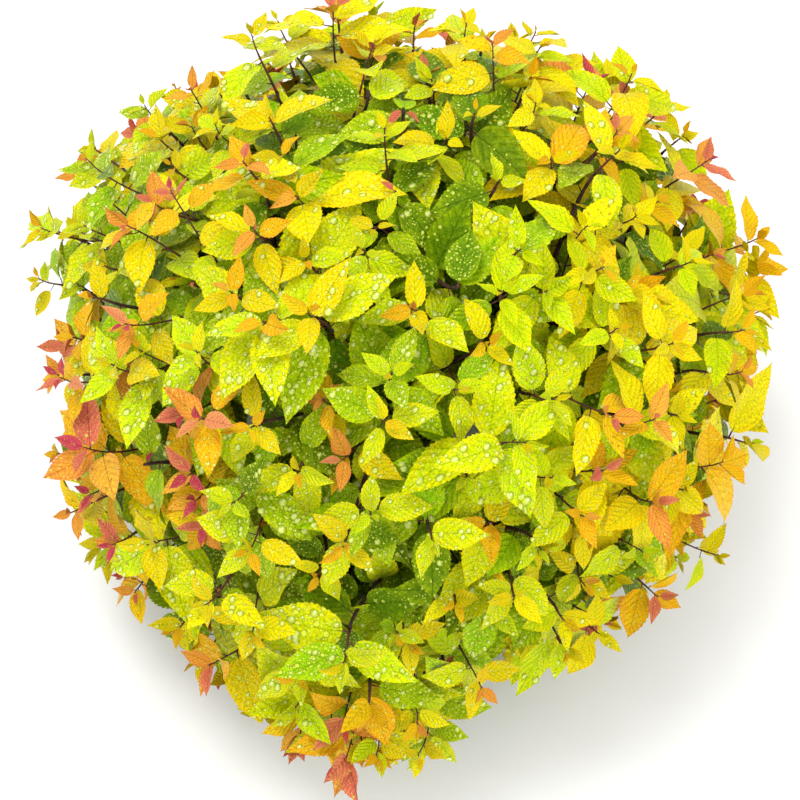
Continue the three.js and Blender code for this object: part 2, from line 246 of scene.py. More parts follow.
def surface_radius(toward, bulges=BULGES):
    """1 / |(x / ACROSS, y / DEEP, z / RISE or DROP)|, times 1 + the sum of rise * exp(-(angle / width)^2)."""
    tall = np.where(toward[..., 2] > 0, RISE, DROP)
    x, y, z = toward[..., 0] / ACROSS, toward[..., 1] / DEEP, toward[..., 2] / tall
    plain = 1 / np.sqrt(x**2 + y**2 + z**2)
    share = 1.0
    for azimuth, polar, rise, width in bulges:
        off = np.arccos(np.clip(toward @ direction(azimuth, polar), -1, 1)) / np.radians(width)
        share = share + rise * np.exp(-off * off)
    return plain * share


print("radius to the front, the right and the top:",
      surface_radius(direction(np.array([270, 0, 0]), np.array([90, 90, 0]))))


# %% [markdown]
# ## Curves
# A limb leaves its parent in one direction and reaches its tip in another, which is what a cubic Bezier curve
# does. Blender has such curves as objects, but hundreds of them are quicker as one array of handles. Points
# are asked for by their share of the length, so that leaves can be spaced in real millimetres.

# %% Curves
CURVE_STEPS = 65


def arch(start, leaving, end, arriving, reach=0.36):
    """Handles (..., 4, 3): both ends, and points reach * distance along leaving and back along arriving."""
    span = np.linalg.norm(end - start, axis=-1, keepdims=True) * reach
    return np.stack([start, start + leaving * span, end - arriving * span, end], axis=-2)


def on_curve(handles, t):
    """(1-t)^3 A + 3(1-t)^2 t B + 3(1-t) t^2 C + t^3 D, for handles (n, 4, 3) and t (n, m)."""
    t = t[..., None]
    a, b, c, d = (handles[:, None, k] for k in range(4))
    return (1 - t) ** 3 * a + 3 * (1 - t) ** 2 * t * b + 3 * (1 - t) * t**2 * c + t**3 * d


def curve_slope(handles, t):
    """The same curve's derivative, made a unit vector."""
    t = t[..., None]
    a, b, c, d = (handles[:, None, k] for k in range(4))
    return unit((1 - t) ** 2 * (b - a) + 2 * (1 - t) * t * (c - b) + t**2 * (d - c))


def curve_lengths(handles):
    """The length from the start to each of CURVE_STEPS even values of t, (n, CURVE_STEPS)."""
    points = on_curve(handles, np.broadcast_to(np.linspace(0, 1, CURVE_STEPS), (len(handles), CURVE_STEPS)))
    steps = np.linalg.norm(np.diff(points, axis=1), axis=-1)
    return np.concatenate([np.zeros((len(handles), 1)), np.cumsum(steps, axis=1)], axis=1)


def along_curve(handles, shares):
    """Points and unit tangents (n, m, 3) at shares (n, m) of each curve's length."""
    lengths = curve_lengths(handles)
    even = np.linspace(0, 1, CURVE_STEPS)
    t = np.stack([np.interp(s * row[-1], row, even) for s, row in zip(shares, lengths)])
    return on_curve(handles, t), curve_slope(handles, t)


def at_share(handles, share):
    """One point and one tangent on one curve (4, 3)."""
    point, tangent = along_curve(handles[None], np.array([[share]]))
    return point[0, 0], tangent[0, 0]


example = arch(0 * UP, UP, np.array([0.1, 0, 0]), -UP)
print("length in mm of an arch over 100 mm:", round(1000 * curve_lengths(example[None])[0, -1]))

# %% Masses
AZIMUTH_JITTER = 8
POLAR_JITTER = 6
ARRIVAL_LIFT = 0.35
AXIS_SEED = 1000


def plan_masses():
    """One entry for each mass: its ring, its axis from the crown's centre, and its foot, where its limb
    ends."""
    masses = []
    for ring, sizes in RINGS.items():
        for k in range(sizes["count"]):
            random = seeded_random(AXIS_SEED + len(masses))
            azimuth = sizes["start"] + 360 * k / sizes["count"] + (random() - 0.5) * AZIMUTH_JITTER
            tilt = (random() - 0.5) * POLAR_JITTER if sizes["count"] > 1 else 0
            axis = direction(azimuth, sizes["polar"] + tilt)
            masses.append({
                "name": f"foliage_{ring}_{k + 1}",
                "ring": ring,
                "k": k,
                "azimuth": azimuth,
                "axis": axis,
                "foot": CENTRE + axis * BARE_SHARE * surface_radius(axis),
                "arrival": unit(axis + ARRIVAL_LIFT * UP),
                "seed": 1 + len(masses),
            })
    return masses


masses = plan_masses()
missing = [mass["name"] for mass in masses if mass["name"] not in node_names]
print("masses:", len(masses), "without a node:", missing)

# %% Stems and boughs
ROOT_LEAN = 0.07
SOCKET_HEIGHT = 0.018
SOCKET_RING = 0.0082
STEM_SPLAY = 0.62
STEM_THICK = (0.0037, 0.0019)  # radius at the foot and at the tip
BOUGH_THICK = (0.0026, 0.0017)
SKIRT_FORK = 0.42  # where along its stem a bough of the skirt leaves


def plan_limbs(masses):
    """Stems from the root crown to the top and the shoulder. Boughs to the upper ring, from the middle stem
    at shares 0.2 to 0.56 of its length, and to the skirt, from the outer stem that stands just before, going
    round."""
    socket = np.array([ROOT_LEAN * SOCKET_HEIGHT, 0, SOCKET_HEIGHT])
    limbs = []
    for mass in masses:
        if mass["ring"] in ("top", "shoulder"):
            middle = mass["ring"] == "top"
            outward = 0 * UP if middle else direction(mass["azimuth"], 90)
            leaving = unit(UP + STEM_SPLAY * outward)
            handles = arch(socket + outward * SOCKET_RING, leaving, mass["foot"], mass["arrival"])
            name = "stem_middle" if middle else f"stem_{mass['k'] + 1}"
            limbs.append({"name": name, "mass": mass, "handles": handles, "thick": STEM_THICK})
    stems = list(limbs)
    shoulder = [stem for stem in stems if stem["mass"]["ring"] == "shoulder"]
    for mass in masses:
        if mass["ring"] == "upper":
            parent, share = stems[0], 0.2 + 0.09 * (mass["k"] * 2 % 5)
        elif mass["ring"] == "skirt":
            parent = min(shoulder, key=lambda s: (mass["azimuth"] - s["mass"]["azimuth"]) % 360)
            share = SKIRT_FORK
        else:
            continue
        start, tangent = at_share(parent["handles"], share)
        leaving = unit(unit(mass["foot"] - start) + 0.5 * tangent)
        handles = arch(start, leaving, mass["foot"], mass["arrival"], 0.3)
        name = f"bough_{mass['ring']}_{mass['k'] + 1}"
        limbs.append({"name": name, "mass": mass, "handles": handles, "thick": BOUGH_THICK})
    return limbs


limbs = plan_limbs(masses)
missing = [limb["name"] for limb in limbs if limb["name"] not in node_names]
print("limbs:", len(limbs), "without a node:", missing)

# %% Shoots of the masses
SIDE_SHOOTS = 5
WIDEST_SPREAD = 0.46
LEADER_THICK = (0.0018, 0.0008)
SIDE_THICK = (0.0014, 0.00076)
SHOOT_GAP = 0.0003  # between a limb's tip and the shoot that runs on from it
SHOOT_SEED = 7919


def plan_shoots(masses):
    """In each mass a leading shoot up its axis to 0.8 of the surface, and side shoots that leave it at shares
    0.06 to 0.46 and reach 0.76 to 0.86. How far they spread is about 0.85 of the way to the sector's edge:
    the edge lies where axis + spread * outward is as near to another mass."""
    handles, owners, thick = [], [], []
    for order, mass in enumerate(masses):
        axis = mass["axis"]
        random = seeded_random(mass["seed"] * SHOOT_SEED)
        walls = unit(np.array([axis - other["axis"] for other in masses if other is not mass]))
        start = mass["foot"] + mass["arrival"] * SHOOT_GAP
        leader = arch(start, mass["arrival"], CENTRE + axis * surface_radius(axis) * 0.8, axis, 0.3)
        handles.append(leader)
        owners.append(order)
        thick.append(LEADER_THICK)
        first, second = sideways(axis)
        phase = random() * 2 * np.pi
        for j in range(SIDE_SHOOTS):
            angle = phase + 2 * np.pi * (j + 0.3 * (random() - 0.5)) / SIDE_SHOOTS
            outward = first * np.cos(angle) + second * np.sin(angle)
            facing = walls @ outward
            edge = np.min(-(walls @ axis)[facing < 0] / facing[facing < 0])
            spread = min(WIDEST_SPREAD, 0.85 * edge) * (0.85 + 0.3 * random())
            toward = unit(axis + outward * spread)
            share = 0.06 + 0.1 * (j * 2 % SIDE_SHOOTS)
            begin, tangent = at_share(leader, share)
            tip = CENTRE + toward * surface_radius(toward) * (0.76 + 0.1 * random())
            leaving = unit(0.7 * unit(tip - begin) + 0.3 * tangent)
            handles.append(arch(begin, leaving, tip, unit(toward + 0.25 * UP), 0.3))
            owners.append(order)
            thick.append(SIDE_THICK)
    return np.array(handles), np.array(owners), np.array(thick)


shoots, shoot_owner, shoot_thick = plan_shoots(masses)
print("shoots:", len(shoots), "mean length in mm:", round(1000 * curve_lengths(shoots)[:, -1].mean()))

# %% [markdown]
# ## Finer twigs
# On the real shrub each shoot splits again, and the dome's surface is where the growing tips are. Tips drawn
# by chance alone would leave bald patches. So each shoot runs on to the surface, and between their tips
# further twigs are set by the golden angle, which spreads points on a dome as evenly as seeds on a sunflower.
# Each leaves the nearest shoot of its own mass. Three things then break the evenness, as growth does: RIPPLES
# are small bulges and dips that the frame is too coarse for, the tips near the rim gather into clumps, and
# sums of sines, here called lumps, make some parts of the dome reach further out than others.

# %% Finer twigs
EXTRA_TIPS = 330
LOWEST_POLAR = 118
# azimuth, polar angle, share of the radius, width in degrees, as in BULGES
RIPPLES = [
    (263, 103, 0.05, 9),
    (349, 95, -0.08, 12),
    (68, 64, -0.04, 10),
    (112, 62, -0.04, 12),
    (137, 70, -0.045, 12),
    (182, 90, -0.03, 8),
    (207, 103, -0.055, 12),
    (246, 115, -0.05, 9),
]
RIM_CLUMPS = 13
RIM_CLUMPING = 4.2  # degrees
RIM_FROM, RIM_FULL = 74, 94  # polar angles between which the clumps set in
LEAST_APART = 5.2  # degrees between a shoot's own tip and a further one
BULGE_TIPS = 60  # further tips on a bulge, for each whole radius that it rises
TURNED_UP = 0.45  # how far a tip turns up from straight outward
LUMPS = np.array([[9, 4, 7], [-5, 10, 4], [6, -7, 10]])
LUMP_RISE = 0.035
LOWEST_TIP = 0.012
rng = np.random.default_rng(29)


def rippled_radius(toward):
    """The crown's surface with the small ripples as well."""
    return surface_radius(toward, BULGES + RIPPLES)


def run_on(shoots):
    """Each shoot carried on, straight outward, to between 0.8 and 0.96 of the surface."""
    ends, slopes = (values[:, 0] for values in along_curve(shoots, np.ones((len(shoots), 1))))
    toward = unit(ends - CENTRE)
    tips = CENTRE + toward * (rippled_radius(toward) * rng.uniform(0.8, 0.96, len(toward)))[:, None]
    arriving = unit(toward + TURNED_UP * UP + 0.2 * rng.normal(size=toward.shape))
    return arch(ends, slopes, tips, arriving, 0.33), toward


def further_tips(own):
    """Directions for k = 0.5, 1.5 ...: cos polar = 1 - (1 - cos LOWEST_POLAR) k / EXTRA_TIPS, azimuth = k
    golden angles, less RIM_CLUMPING sin(RIM_CLUMPS azimuth) at the rim. Those near a shoot's own tip are left
    out, and each bulge gets some more about its middle."""
    order = np.arange(EXTRA_TIPS) + 0.5
    polar = np.degrees(np.arccos(1 - (1 - np.cos(np.radians(LOWEST_POLAR))) * order / EXTRA_TIPS))
    azimuth = np.degrees(order * GOLDEN_ANGLE)
    clumped = RIM_CLUMPING * np.clip((polar - RIM_FROM) / (RIM_FULL - RIM_FROM), 0, 1)
    azimuth = azimuth - clumped * np.sin(np.radians(RIM_CLUMPS * azimuth + 40))
    toward = direction(azimuth, polar)
    toward = unit(toward + 0.035 * rng.normal(size=toward.shape))
    toward = toward[np.max(toward @ own.T, axis=1) < np.cos(np.radians(LEAST_APART))]
    for azimuth, polar, rise, width in BULGES:
        spots = rng.normal(size=(int(BULGE_TIPS * max(rise, 0)), 2)) * 0.45 * width
        toward = np.concatenate([toward, direction(azimuth + spots[:, 0], polar + 0.6 * spots[:, 1])])
    return toward


def fill_in(shoots, shoot_owner, masses, own, toward):
    """A twig to each further tip, from the shoot of its mass whose tip is nearest. The nearer that is, the
    later it leaves: at share 0.72 - 1.1 * angle. It reaches 0.78 to 0.94 of the surface, more on a lump and
    the top."""
    axes = np.array([mass["axis"] for mass in masses])
    sector = np.argmax(toward @ axes.T, axis=1)
    likeness = np.where(sector[:, None] == shoot_owner[None], toward @ own.T, -2)
    nearest = np.argmax(likeness, axis=1)
    away = np.arccos(np.clip(np.max(likeness, axis=1), -1, 1))
    share = np.clip(0.72 - 1.1 * away, 0.2, 0.7)
    begin, slope = (values[:, 0] for values in along_curve(shoots[nearest], share[:, None]))
    lump = np.sin(toward @ LUMPS[0] + 1) * np.sin(toward @ LUMPS[1] + 2) + np.sin(toward @ LUMPS[2])
    height = np.clip(toward[:, 2], 0, 1)
    reach = rng.uniform(0.78, 0.94, len(toward)) + LUMP_RISE * lump + 0.03 * height**2
    tips = CENTRE + toward * (rippled_radius(toward) * reach)[:, None]
    leaving = unit(0.65 * unit(tips - begin) + 0.35 * slope)
    arriving = unit(toward + TURNED_UP * UP + 0.25 * rng.normal(size=toward.shape))
    return arch(begin, leaving, tips, arriving, 0.33)


grown_on, own = run_on(shoots)
filled_in = fill_in(shoots, shoot_owner, masses, own, further_tips(own))
twigs = np.concatenate([grown_on, filled_in])
twigs = twigs[twigs[:, 3, 2] > LOWEST_TIP]
twig_lengths = curve_lengths(twigs)[:, -1]
print("twigs:", len(twigs), "mean length in mm:", round(1000 * twig_lengths.mean()))


# %% [markdown]
# ## Limbs with bark
# A curve object with a round bevel makes a smooth stem at once, but bark has furrows, and a stem swells where
# buds sit. So a stem is a profile carried along a path: a ring of points round each place on the curve, with
# its radius tapering to the tip, and with the furrows and the swollen nodes in the radius itself. The ring is
# kept to the plane that the limb bends in, so that the furrows run along the limb.

# %% Limbs as tubes
LIMB_RINGS, LIMB_SIDES = 56, 18


def tube_faces(count, rings, sides):
    """Triangles of count closed tubes of rings * sides points each, followed by a pole at either end."""
    r, s = np.meshgrid(np.arange(rings - 1), np.arange(sides), indexing="ij")
    a, b = r * sides + s, r * sides + (s + 1) % sides
    wall = np.concatenate([
        np.stack([a, b, b + sides], -1).reshape(-1, 3),
        np.stack([a, b + sides, a + sides], -1).reshape(-1, 3),
    ])
    s = np.arange(sides)
    near, far = rings * sides, rings * sides + 1
    last = (rings - 1) * sides
    foot = np.stack([(s + 1) % sides, s, 0 * s + near], -1)
    tip = np.stack([last + s, last + (s + 1) % sides, 0 * s + far], -1)
    one = np.concatenate([wall, foot, tip])
    return (one[None] + (np.arange(count) * (rings * sides + 2))[:, None, None]).reshape(-1, 3)


def tubes(handles, thick, rings, sides, relief=None):
    """Point (share, angle) = curve + radius * (cos angle * n + sin angle * b), with n and b square to the
    curve and radius = taper * (1 + relief(share, angle)). The ends bulge a little. Returns points and
    faces."""
    count = len(handles)
    shares = np.broadcast_to(np.linspace(0, 1, rings), (count, rings))
    middle, slope = along_curve(handles, shares)
    plane = np.cross(handles[:, 1] - handles[:, 0], handles[:, 3] - handles[:, 0])
    flat = np.linalg.norm(plane, axis=-1, keepdims=True) < 1e-8
    plane = np.where(flat, sideways(unit(handles[:, 3] - handles[:, 0]))[0], plane)
    reference = np.broadcast_to(unit(plane)[:, None], slope.shape)
    across = unit(reference - slope * np.sum(reference * slope, -1, keepdims=True))
    over = np.cross(slope, across)
    angle = np.arange(sides) * 2 * np.pi / sides
    radius = thick[:, :1] + (thick[:, 1:] - thick[:, :1]) * shares
    radius = np.repeat(radius[:, :, None], sides, axis=2)
    if relief is not None:
        radius = radius * (1 + relief(shares[:, :, None], angle[None, None], np.arange(count)[:, None, None]))
    ring = across[:, :, None] * np.cos(angle)[:, None] + over[:, :, None] * np.sin(angle)[:, None]
    points = middle[:, :, None] + radius[..., None] * ring
    foot = middle[:, 0] - slope[:, 0] * thick[:, :1] * 0.4
    tip = middle[:, -1] + slope[:, -1] * thick[:, 1:] * 0.6
    poles = np.stack([foot, tip], 1)
    points = np.concatenate([points.reshape(count, -1, 3), poles], axis=1).reshape(-1, 3)
    return points, tube_faces(count, rings, sides)


def bark_relief(share, angle, order):
    """Furrows 0.07 sin(7a + 3 sin 11s) + 0.04 sin(13a - 5 sin 7s), and nodes 0.16 exp(-(s' / 0.07)^2), where
    s' is the distance from the nearest of seven nodes, as a share of the gap. Each limb has its own turn of
    both."""
    turn = order * 2.4
    furrows = 0.07 * np.sin(7 * angle + 3 * np.sin(11 * share + turn))
    furrows = furrows + 0.04 * np.sin(13 * angle - 5 * np.sin(7 * share + turn))
    between = (share * 7 + turn) % 1 - 0.5
    return furrows + 0.16 * np.exp(-((between / 0.07) ** 2))


limb_handles = np.array([limb["handles"] for limb in limbs])
limb_thick = np.array([limb["thick"] for limb in limbs])
limb_points, limb_faces = tubes(limb_handles, limb_thick, LIMB_RINGS, LIMB_SIDES, bark_relief)
print("limb triangles:", len(limb_faces))

# %% [markdown]
# ## Root crown
# All stems leave one short woody stump. It is turned from a profile, as on a lathe, but with five lobes at
# its flare where the roots start, with furrows and knobs, and with a slight lean. A Spin or a Screw modifier
# would turn it evenly, so the formula is used instead. The stump and the limbs are one mesh with one bark.

# %% Root crown
ROOT_HEIGHT = 0.032
ROOT_RINGS, ROOT_SIDES = 40, 60
ROOT_DOME = 0.0012  # how far the top bulges
ROOT_PROFILE = np.array([  # share of the height, radius, how far the lobes show
    [0, 0.022, 1],
    [0.05, 0.0201, 0.9],
    [0.1, 0.0179, 0.8],
    [0.28, 0.0153, 0.45],
    [0.6, 0.0145, 0.2],
    [0.86, 0.0122, 0.1],
    [0.95, 0.0098, 0.05],
    [1, 0.0068, 0],
])


def root_crown():
    """Ring (share, angle): r = profile * (1 + 0.1 lobes cos 5a + furrows + knobs), leaning by ROOT_LEAN *
    height. The furrows and knobs are sines of both, and fade out at the flat cut."""
    share = np.linspace(0, 1, ROOT_RINGS)[:, None]
    angle = (np.arange(ROOT_SIDES) * 2 * np.pi / ROOT_SIDES)[None]
    radius = np.interp(share, ROOT_PROFILE[:, 0], ROOT_PROFILE[:, 1])
    lobed = np.interp(share, ROOT_PROFILE[:, 0], ROOT_PROFILE[:, 2])
    furrows = 0.035 * np.sin(17 * angle + 4 * np.sin(5 * share))
    furrows = furrows + 0.03 * np.sin(9 * angle - 3 * np.sin(8 * share))
    knobs = 0.05 * np.sin(4 * angle + 9 * share) * np.sin(11 * share + 2 * angle)
    radius = radius * (1 + 0.1 * lobed * np.cos(5 * angle) + (furrows + knobs) * np.minimum(1, 12 * share))
    level = share * ROOT_HEIGHT + 0 * angle
    points = np.stack([radius * np.cos(angle) + ROOT_LEAN * level, radius * np.sin(angle), level], -1)
    poles = np.array([[0, 0, 0], [ROOT_LEAN * ROOT_HEIGHT, 0, ROOT_HEIGHT + ROOT_DOME]])
    return np.concatenate([points.reshape(-1, 3), poles]), tube_faces(1, ROOT_RINGS, ROOT_SIDES)


root_points, root_faces = root_crown()
bark = mesh_piece("bark_limbs", np.concatenate([root_points, limb_points]),
                  np.concatenate([root_faces, limb_faces + len(root_points)]))
print("bark triangles:", len(bark.data.polygons), "lowest point:", root_points[:, 2].min())


# %% Shoots and twigs
TWIG_THICK = [0.00076, 0.00032]


def shoot_relief(share, angle, order):
    """Nodes 0.22 exp(-(s' / 0.12)^2), where s' is the distance from the nearest of eight nodes, as a share of
    the gap, and three faint ribs, 0.05 sin(3a + 9s)."""
    between = (share * 8 + order * 0.37) % 1 - 0.5
    return 0.22 * np.exp(-((between / 0.12) ** 2)) + 0.05 * np.sin(3 * angle + 9 * share)


shoot_points, shoot_faces = tubes(shoots, shoot_thick, 18, 8, shoot_relief)
old_shoots = mesh_piece("old_shoots", shoot_points, shoot_faces)
twig_points, twig_faces = tubes(twigs, np.tile(TWIG_THICK, (len(twigs), 1)), 12, 6, shoot_relief)
print("shoot triangles:", len(shoot_faces), "twig triangles:", len(twig_faces))

# %% [markdown]
# ## Where the leaves sit
# Leaves follow each other round a twig by the golden angle. At the growing tip they are small, close together
# and folded up like hands; further down they are full-sized, further apart, and lie out flat with their faces
# to the light. A particle system would scatter leaves, but wouldn't know the tip from the foot. So the
# length, the gap and the opening angle are lists read from the tip down. Two numbers go with each twig: how
# sunny it stands, and how strongly it flushes with red young growth. Both lean to one side of the shrub, with
# chance.

# %% Leaves along the twigs
LEAF_LENGTHS = np.array([9, 13, 18, 24, 30, 35, 39, 42, 43, 44, 44, 44]) / 1000
LEAF_GAPS = np.array([0.8, 1.4, 2.0, 3.0, 4.0, 5.0, 6.0, 6.9, 7.6, 8.2, 8.6, 9.0]) / 1000
LEAF_OPENING = np.radians([30, 43, 53, 60, 66, 70, 74, 77, 80, 82, 84, 86])
LEAF_BREADTH = np.array([0.42, 0.43, 0.45, 0.47, 0.49, 0.5, 0.51, 0.52, 0.52, 0.52, 0.52, 0.52])
LEAF_FOLD = np.array([0.75, 0.6, 0.48, 0.38, 0.3, 0.25, 0.22, 0.2, 0.18, 0.17, 0.16, 0.15])
FLUSH_LENGTHENS = np.array([0.5, 0.42, 0.34, 0.2, 0.1, 0, 0, 0, 0, 0, 0, 0])
LEAVES_PER_TWIG = 11
SUNWARD = np.array([0.58, 0.3, -0.1])
FLUSHWARD = np.array([-0.5, 0, -0.2])
LIGHT_OUTWARD, LIGHT_UP = 0.55, 0.7
TURNED_FROM_LIGHT = 0.4
HANG = 0.12


def sun_share(twigs):
    """How sunny each twig's tip stands, from 0 to 1: 0.58 + 0.75 * (tip's direction . SUNWARD), with
    chance."""
    tips = unit(twigs[:, 3] - CENTRE)
    return np.clip(0.58 + 0.75 * (tips @ SUNWARD + 0.16 * rng.normal(size=len(tips))), 0, 1)


def flush_share(twigs):
    """How strongly each tip flushes, from 0 to 1: chance * (1.06 - 0.22 up^2) + 0.02 + 0.2 * (tip's direction
    . FLUSHWARD + 1.6 x y): less at the top, more on the left and at the back right and the front left."""
    tips = unit(twigs[:, 3] - CENTRE)
    chance = rng.random(len(tips)) * (1.06 - 0.22 * np.clip(tips[:, 2], 0, 1) ** 2)
    leaning = tips @ FLUSHWARD + 1.6 * tips[:, 0] * tips[:, 1]
    return np.clip(chance + 0.02 + 0.2 * leaning, 0, 1)


def leaf_pose(point, tangent, turn, opening):
    """along = tangent cos o + sideways sin o, less TURNED_FROM_LIGHT of its share of the light, less HANG *
    UP; facing = the light made square to along. The light is LIGHT_OUTWARD * outward + LIGHT_UP * UP."""
    light = unit(LIGHT_OUTWARD * unit(point - CENTRE) + LIGHT_UP * UP)
    first, second = sideways(tangent)
    around = first * np.cos(turn)[:, None] + second * np.sin(turn)[:, None]
    along = tangent * np.cos(opening)[:, None] + around * np.sin(opening)[:, None]
    along = unit(along - light * (TURNED_FROM_LIGHT * np.sum(along * light, -1, keepdims=True)) - HANG * UP)
    facing = unit(light - along * np.sum(light * along, -1, keepdims=True))
    return along, facing


def leaves_on_twigs(twigs, lengths, sunny, flush, per_twig=LEAVES_PER_TWIG):
    """For each twig, per_twig leaves from the tip down, as long as the twig has room for them. All are longer
    on a twig with vigour, which sun adds to, flush takes a little from and a few twigs have much more of. The
    first five are longer by FLUSH_LENGTHENS * flush."""
    count = len(twigs)
    vigour = 0.48 + 0.34 * rng.random(count) + 0.2 * sunny + 0.75 * rng.random(count) ** 7
    vigour = vigour * (1.03 - 0.15 * flush)
    order = np.broadcast_to(np.arange(per_twig), (count, per_twig))
    distance = np.cumsum(LEAF_GAPS[:per_twig])[None] * (0.6 + 0.4 * vigour[:, None])
    room = distance < lengths[:, None] * 0.97
    share = 1 - np.clip(distance / lengths[:, None], 0, 0.97)
    point, tangent = along_curve(twigs, share)
    turn = rng.random(count)[:, None] * 2 * np.pi + order * GOLDEN_ANGLE
    keep = room.ravel()
    pick = order.ravel()[keep]
    twig = np.repeat(np.arange(count), per_twig)[keep]
    ahead = 1 + flush[twig] * FLUSH_LENGTHENS[pick]
    return {
        "root": point.reshape(-1, 3)[keep],
        "tangent": tangent.reshape(-1, 3)[keep],
        "turn": turn.ravel()[keep],
        "opening": LEAF_OPENING[pick] + 0.12 * rng.normal(size=len(pick)),
        "length": LEAF_LENGTHS[pick] * ahead * vigour[twig] * rng.uniform(0.86, 1.14, len(pick)),
        "breadth": LEAF_BREADTH[pick] * rng.uniform(0.88, 1.18, len(pick)),
        "fold": LEAF_FOLD[pick] * rng.uniform(0.7, 1.4, len(pick)),
        "order": pick,
        "twig": twig,
    }


sunny = sun_share(twigs)
flush = flush_share(twigs)
twig_leaves = leaves_on_twigs(twigs, twig_lengths, sunny, flush)
print("leaves on the twigs:", len(twig_leaves["root"]))


# %% Older leaves along the shoots
LEAVES_PER_SHOOT = 13
OLD_OPENING = np.radians(78)


def leaves_on_shoots(shoots, per_shoot=LEAVES_PER_SHOOT):
    """Evenly spaced along each shoot, from share 0.12 of its length to 0.95, all nearly full-sized. They
    count as the last leaf of a twig, and as on no twig, which is -1."""
    count = len(shoots)
    share = np.linspace(0.12, 0.95, per_shoot)[None] + rng.uniform(-0.03, 0.03, (count, per_shoot))
    point, tangent = along_curve(shoots, share)
    turn = rng.random(count)[:, None] * 2 * np.pi + np.arange(per_shoot)[None] * GOLDEN_ANGLE
    total = count * per_shoot
    return {
        "root": point.reshape(-1, 3),
        "tangent": tangent.reshape(-1, 3),
        "turn": turn.ravel(),
        "opening": OLD_OPENING + 0.15 * rng.normal(size=total),
        "length": rng.uniform(0.022, 0.04, total),
        "breadth": rng.uniform(0.5, 0.62, total),
        "fold": rng.uniform(0.1, 0.25, total),
        "order": np.full(total, len(LEAF_LENGTHS) - 1),
        "twig": np.full(total, -1),
    }


shoot_leaves = leaves_on_shoots(shoots)
leaves = {key: np.concatenate([twig_leaves[key], shoot_leaves[key]]) for key in twig_leaves}
print("leaves in all:", len(leaves["root"]))


# %% [markdown]
# ## The shape of a leaf
# A spirea leaf is egg-shaped, widest below the middle, with a sharp tip and forward-pointing teeth. It is
# folded a little along the midrib, and its tip hangs. A flat card with a picture of a leaf would be cheaper,
# but it has no fold and no teeth against the light. So the blade is a surface of two numbers, t from foot to
# tip and b from edge to edge; the teeth are in the grid's edge points. One formula places all leaves at once.

# %% The shape of a leaf
WIDEST_BELOW = 0.716  # the power of t that brings the widest place below the middle


def blade_outline(t):
    """Half-width as a share of the greatest: sin(pi t^WIDEST_BELOW) to the power 0.7 + 0.5 t."""
    return np.clip(np.sin(np.pi * np.clip(t, 0, 1) ** WIDEST_BELOW), 1e-6, 1) ** (0.7 + 0.5 * t)


def blade_points(leaves, pick, t, b):
    """Point (t, b) of the leaves in pick, (n, m, 3). The midrib is an arc that turns by droop over its
    length, a = L sin(kt)/k and c = -L (1 - cos kt)/k; the sides rise by fold * |b| and wave; all twists
    along."""
    keys = ("root", "along", "across", "facing")
    root, along, across, facing = (leaves[key][pick][:, None] for key in keys)
    length = leaves["length"][pick][:, None]
    half = 0.5 * leaves["breadth"][pick][:, None] * length * blade_outline(t)
    k = leaves["droop"][pick][:, None]
    k = np.where(np.abs(k) < 0.02, 0.02, k)
    arc_along = leaves["stalk"][pick][:, None] + length * np.sin(k * t) / k
    arc_over = -length * (1 - np.cos(k * t)) / k
    phase = np.where(b < 0, leaves["phase"][pick][:, :1], leaves["phase"][pick][:, 1:])
    ripple = leaves["wave"][pick][:, None] * length * np.sin(2 * np.pi * (1.6 * t + phase))
    rise = np.abs(b) * (leaves["fold"][pick][:, None] * half + 0.5 * ripple * np.sin(np.pi * t))
    side = b * half
    turn = leaves["twist"][pick][:, None] * t
    side, rise = side * np.cos(turn) - rise * np.sin(turn), side * np.sin(turn) + rise * np.cos(turn)
    side = side + leaves["bend"][pick][:, None] * length * t * t
    a = arc_along + rise * np.sin(k * t)
    c = arc_over + rise * np.cos(k * t)
    return root + along * a[..., None] + across * side[..., None] + facing * c[..., None]


def blade_grid(stations, tooth):
    """t and b of the grid (stations, 3): odd edge points stand out and forward as teeth, even ones lie
    back."""
    t = np.linspace(0, 1, stations)
    odd = np.arange(stations) % 2 == 1
    inside = (t > 0.08) & (t < 0.97)
    step = 1 / (stations - 1)
    edge_t = t + np.where(inside, np.where(odd, 0.75 * step, 0.05 * step), 0)
    reach = 1 + np.where(inside, np.where(odd, tooth, -tooth), 0)
    return np.stack([edge_t, t, edge_t], 1), np.stack([-reach, 0 * t, reach], 1)


print("half-width from foot to tip, in tenths:", blade_outline(np.linspace(0, 1, 11)).round(2).tolist())

# %% [markdown]
# ## No two leaves alike
# Real leaves differ in how far they droop, twist, bend and wave. Each gets its own small numbers by chance,
# which the formula of the blade takes up. A leaf that would stand out of the dome is shortened till it fits,
# as if it were younger, and one that would touch the ground is left out.

# %% Poses of the leaves
FURTHEST = 0.99  # the share of the crown's radius that a leaf's tip may reach
SHORTEST_SHARE = 0.35
LOWEST_LEAF = 0.009
YOUNG_ORDERS = 4
TILES = 4  # the flat layout of the leaves has TILES * TILES tiles


def chance_of_pose(leaves):
    """Gives each leaf its own small tilt, droop, twist, bend, wave, stalk and tile of the flat layout. The
    tile is dealt again later, by how wet the leaf is."""
    count = len(leaves["root"])
    young = leaves["order"] < YOUNG_ORDERS
    leaves["tilt"] = 0.24 * rng.normal(size=(count, 3))
    leaves["droop"] = np.where(young, rng.uniform(-0.5, 0.3, count), rng.uniform(-0.05, 1.05, count))
    leaves["twist"] = rng.normal(size=count) * 0.3
    leaves["bend"] = rng.normal(size=count) * 0.05
    leaves["wave"] = rng.uniform(0.01, 0.1, count)
    leaves["phase"] = rng.random((count, 2))
    leaves["stalk"] = np.where(young, 0.0012, 0.0034) * rng.uniform(0.8, 1.4, count)
    leaves["tile"] = rng.integers(0, TILES * TILES, count)
    return pose_again(leaves)


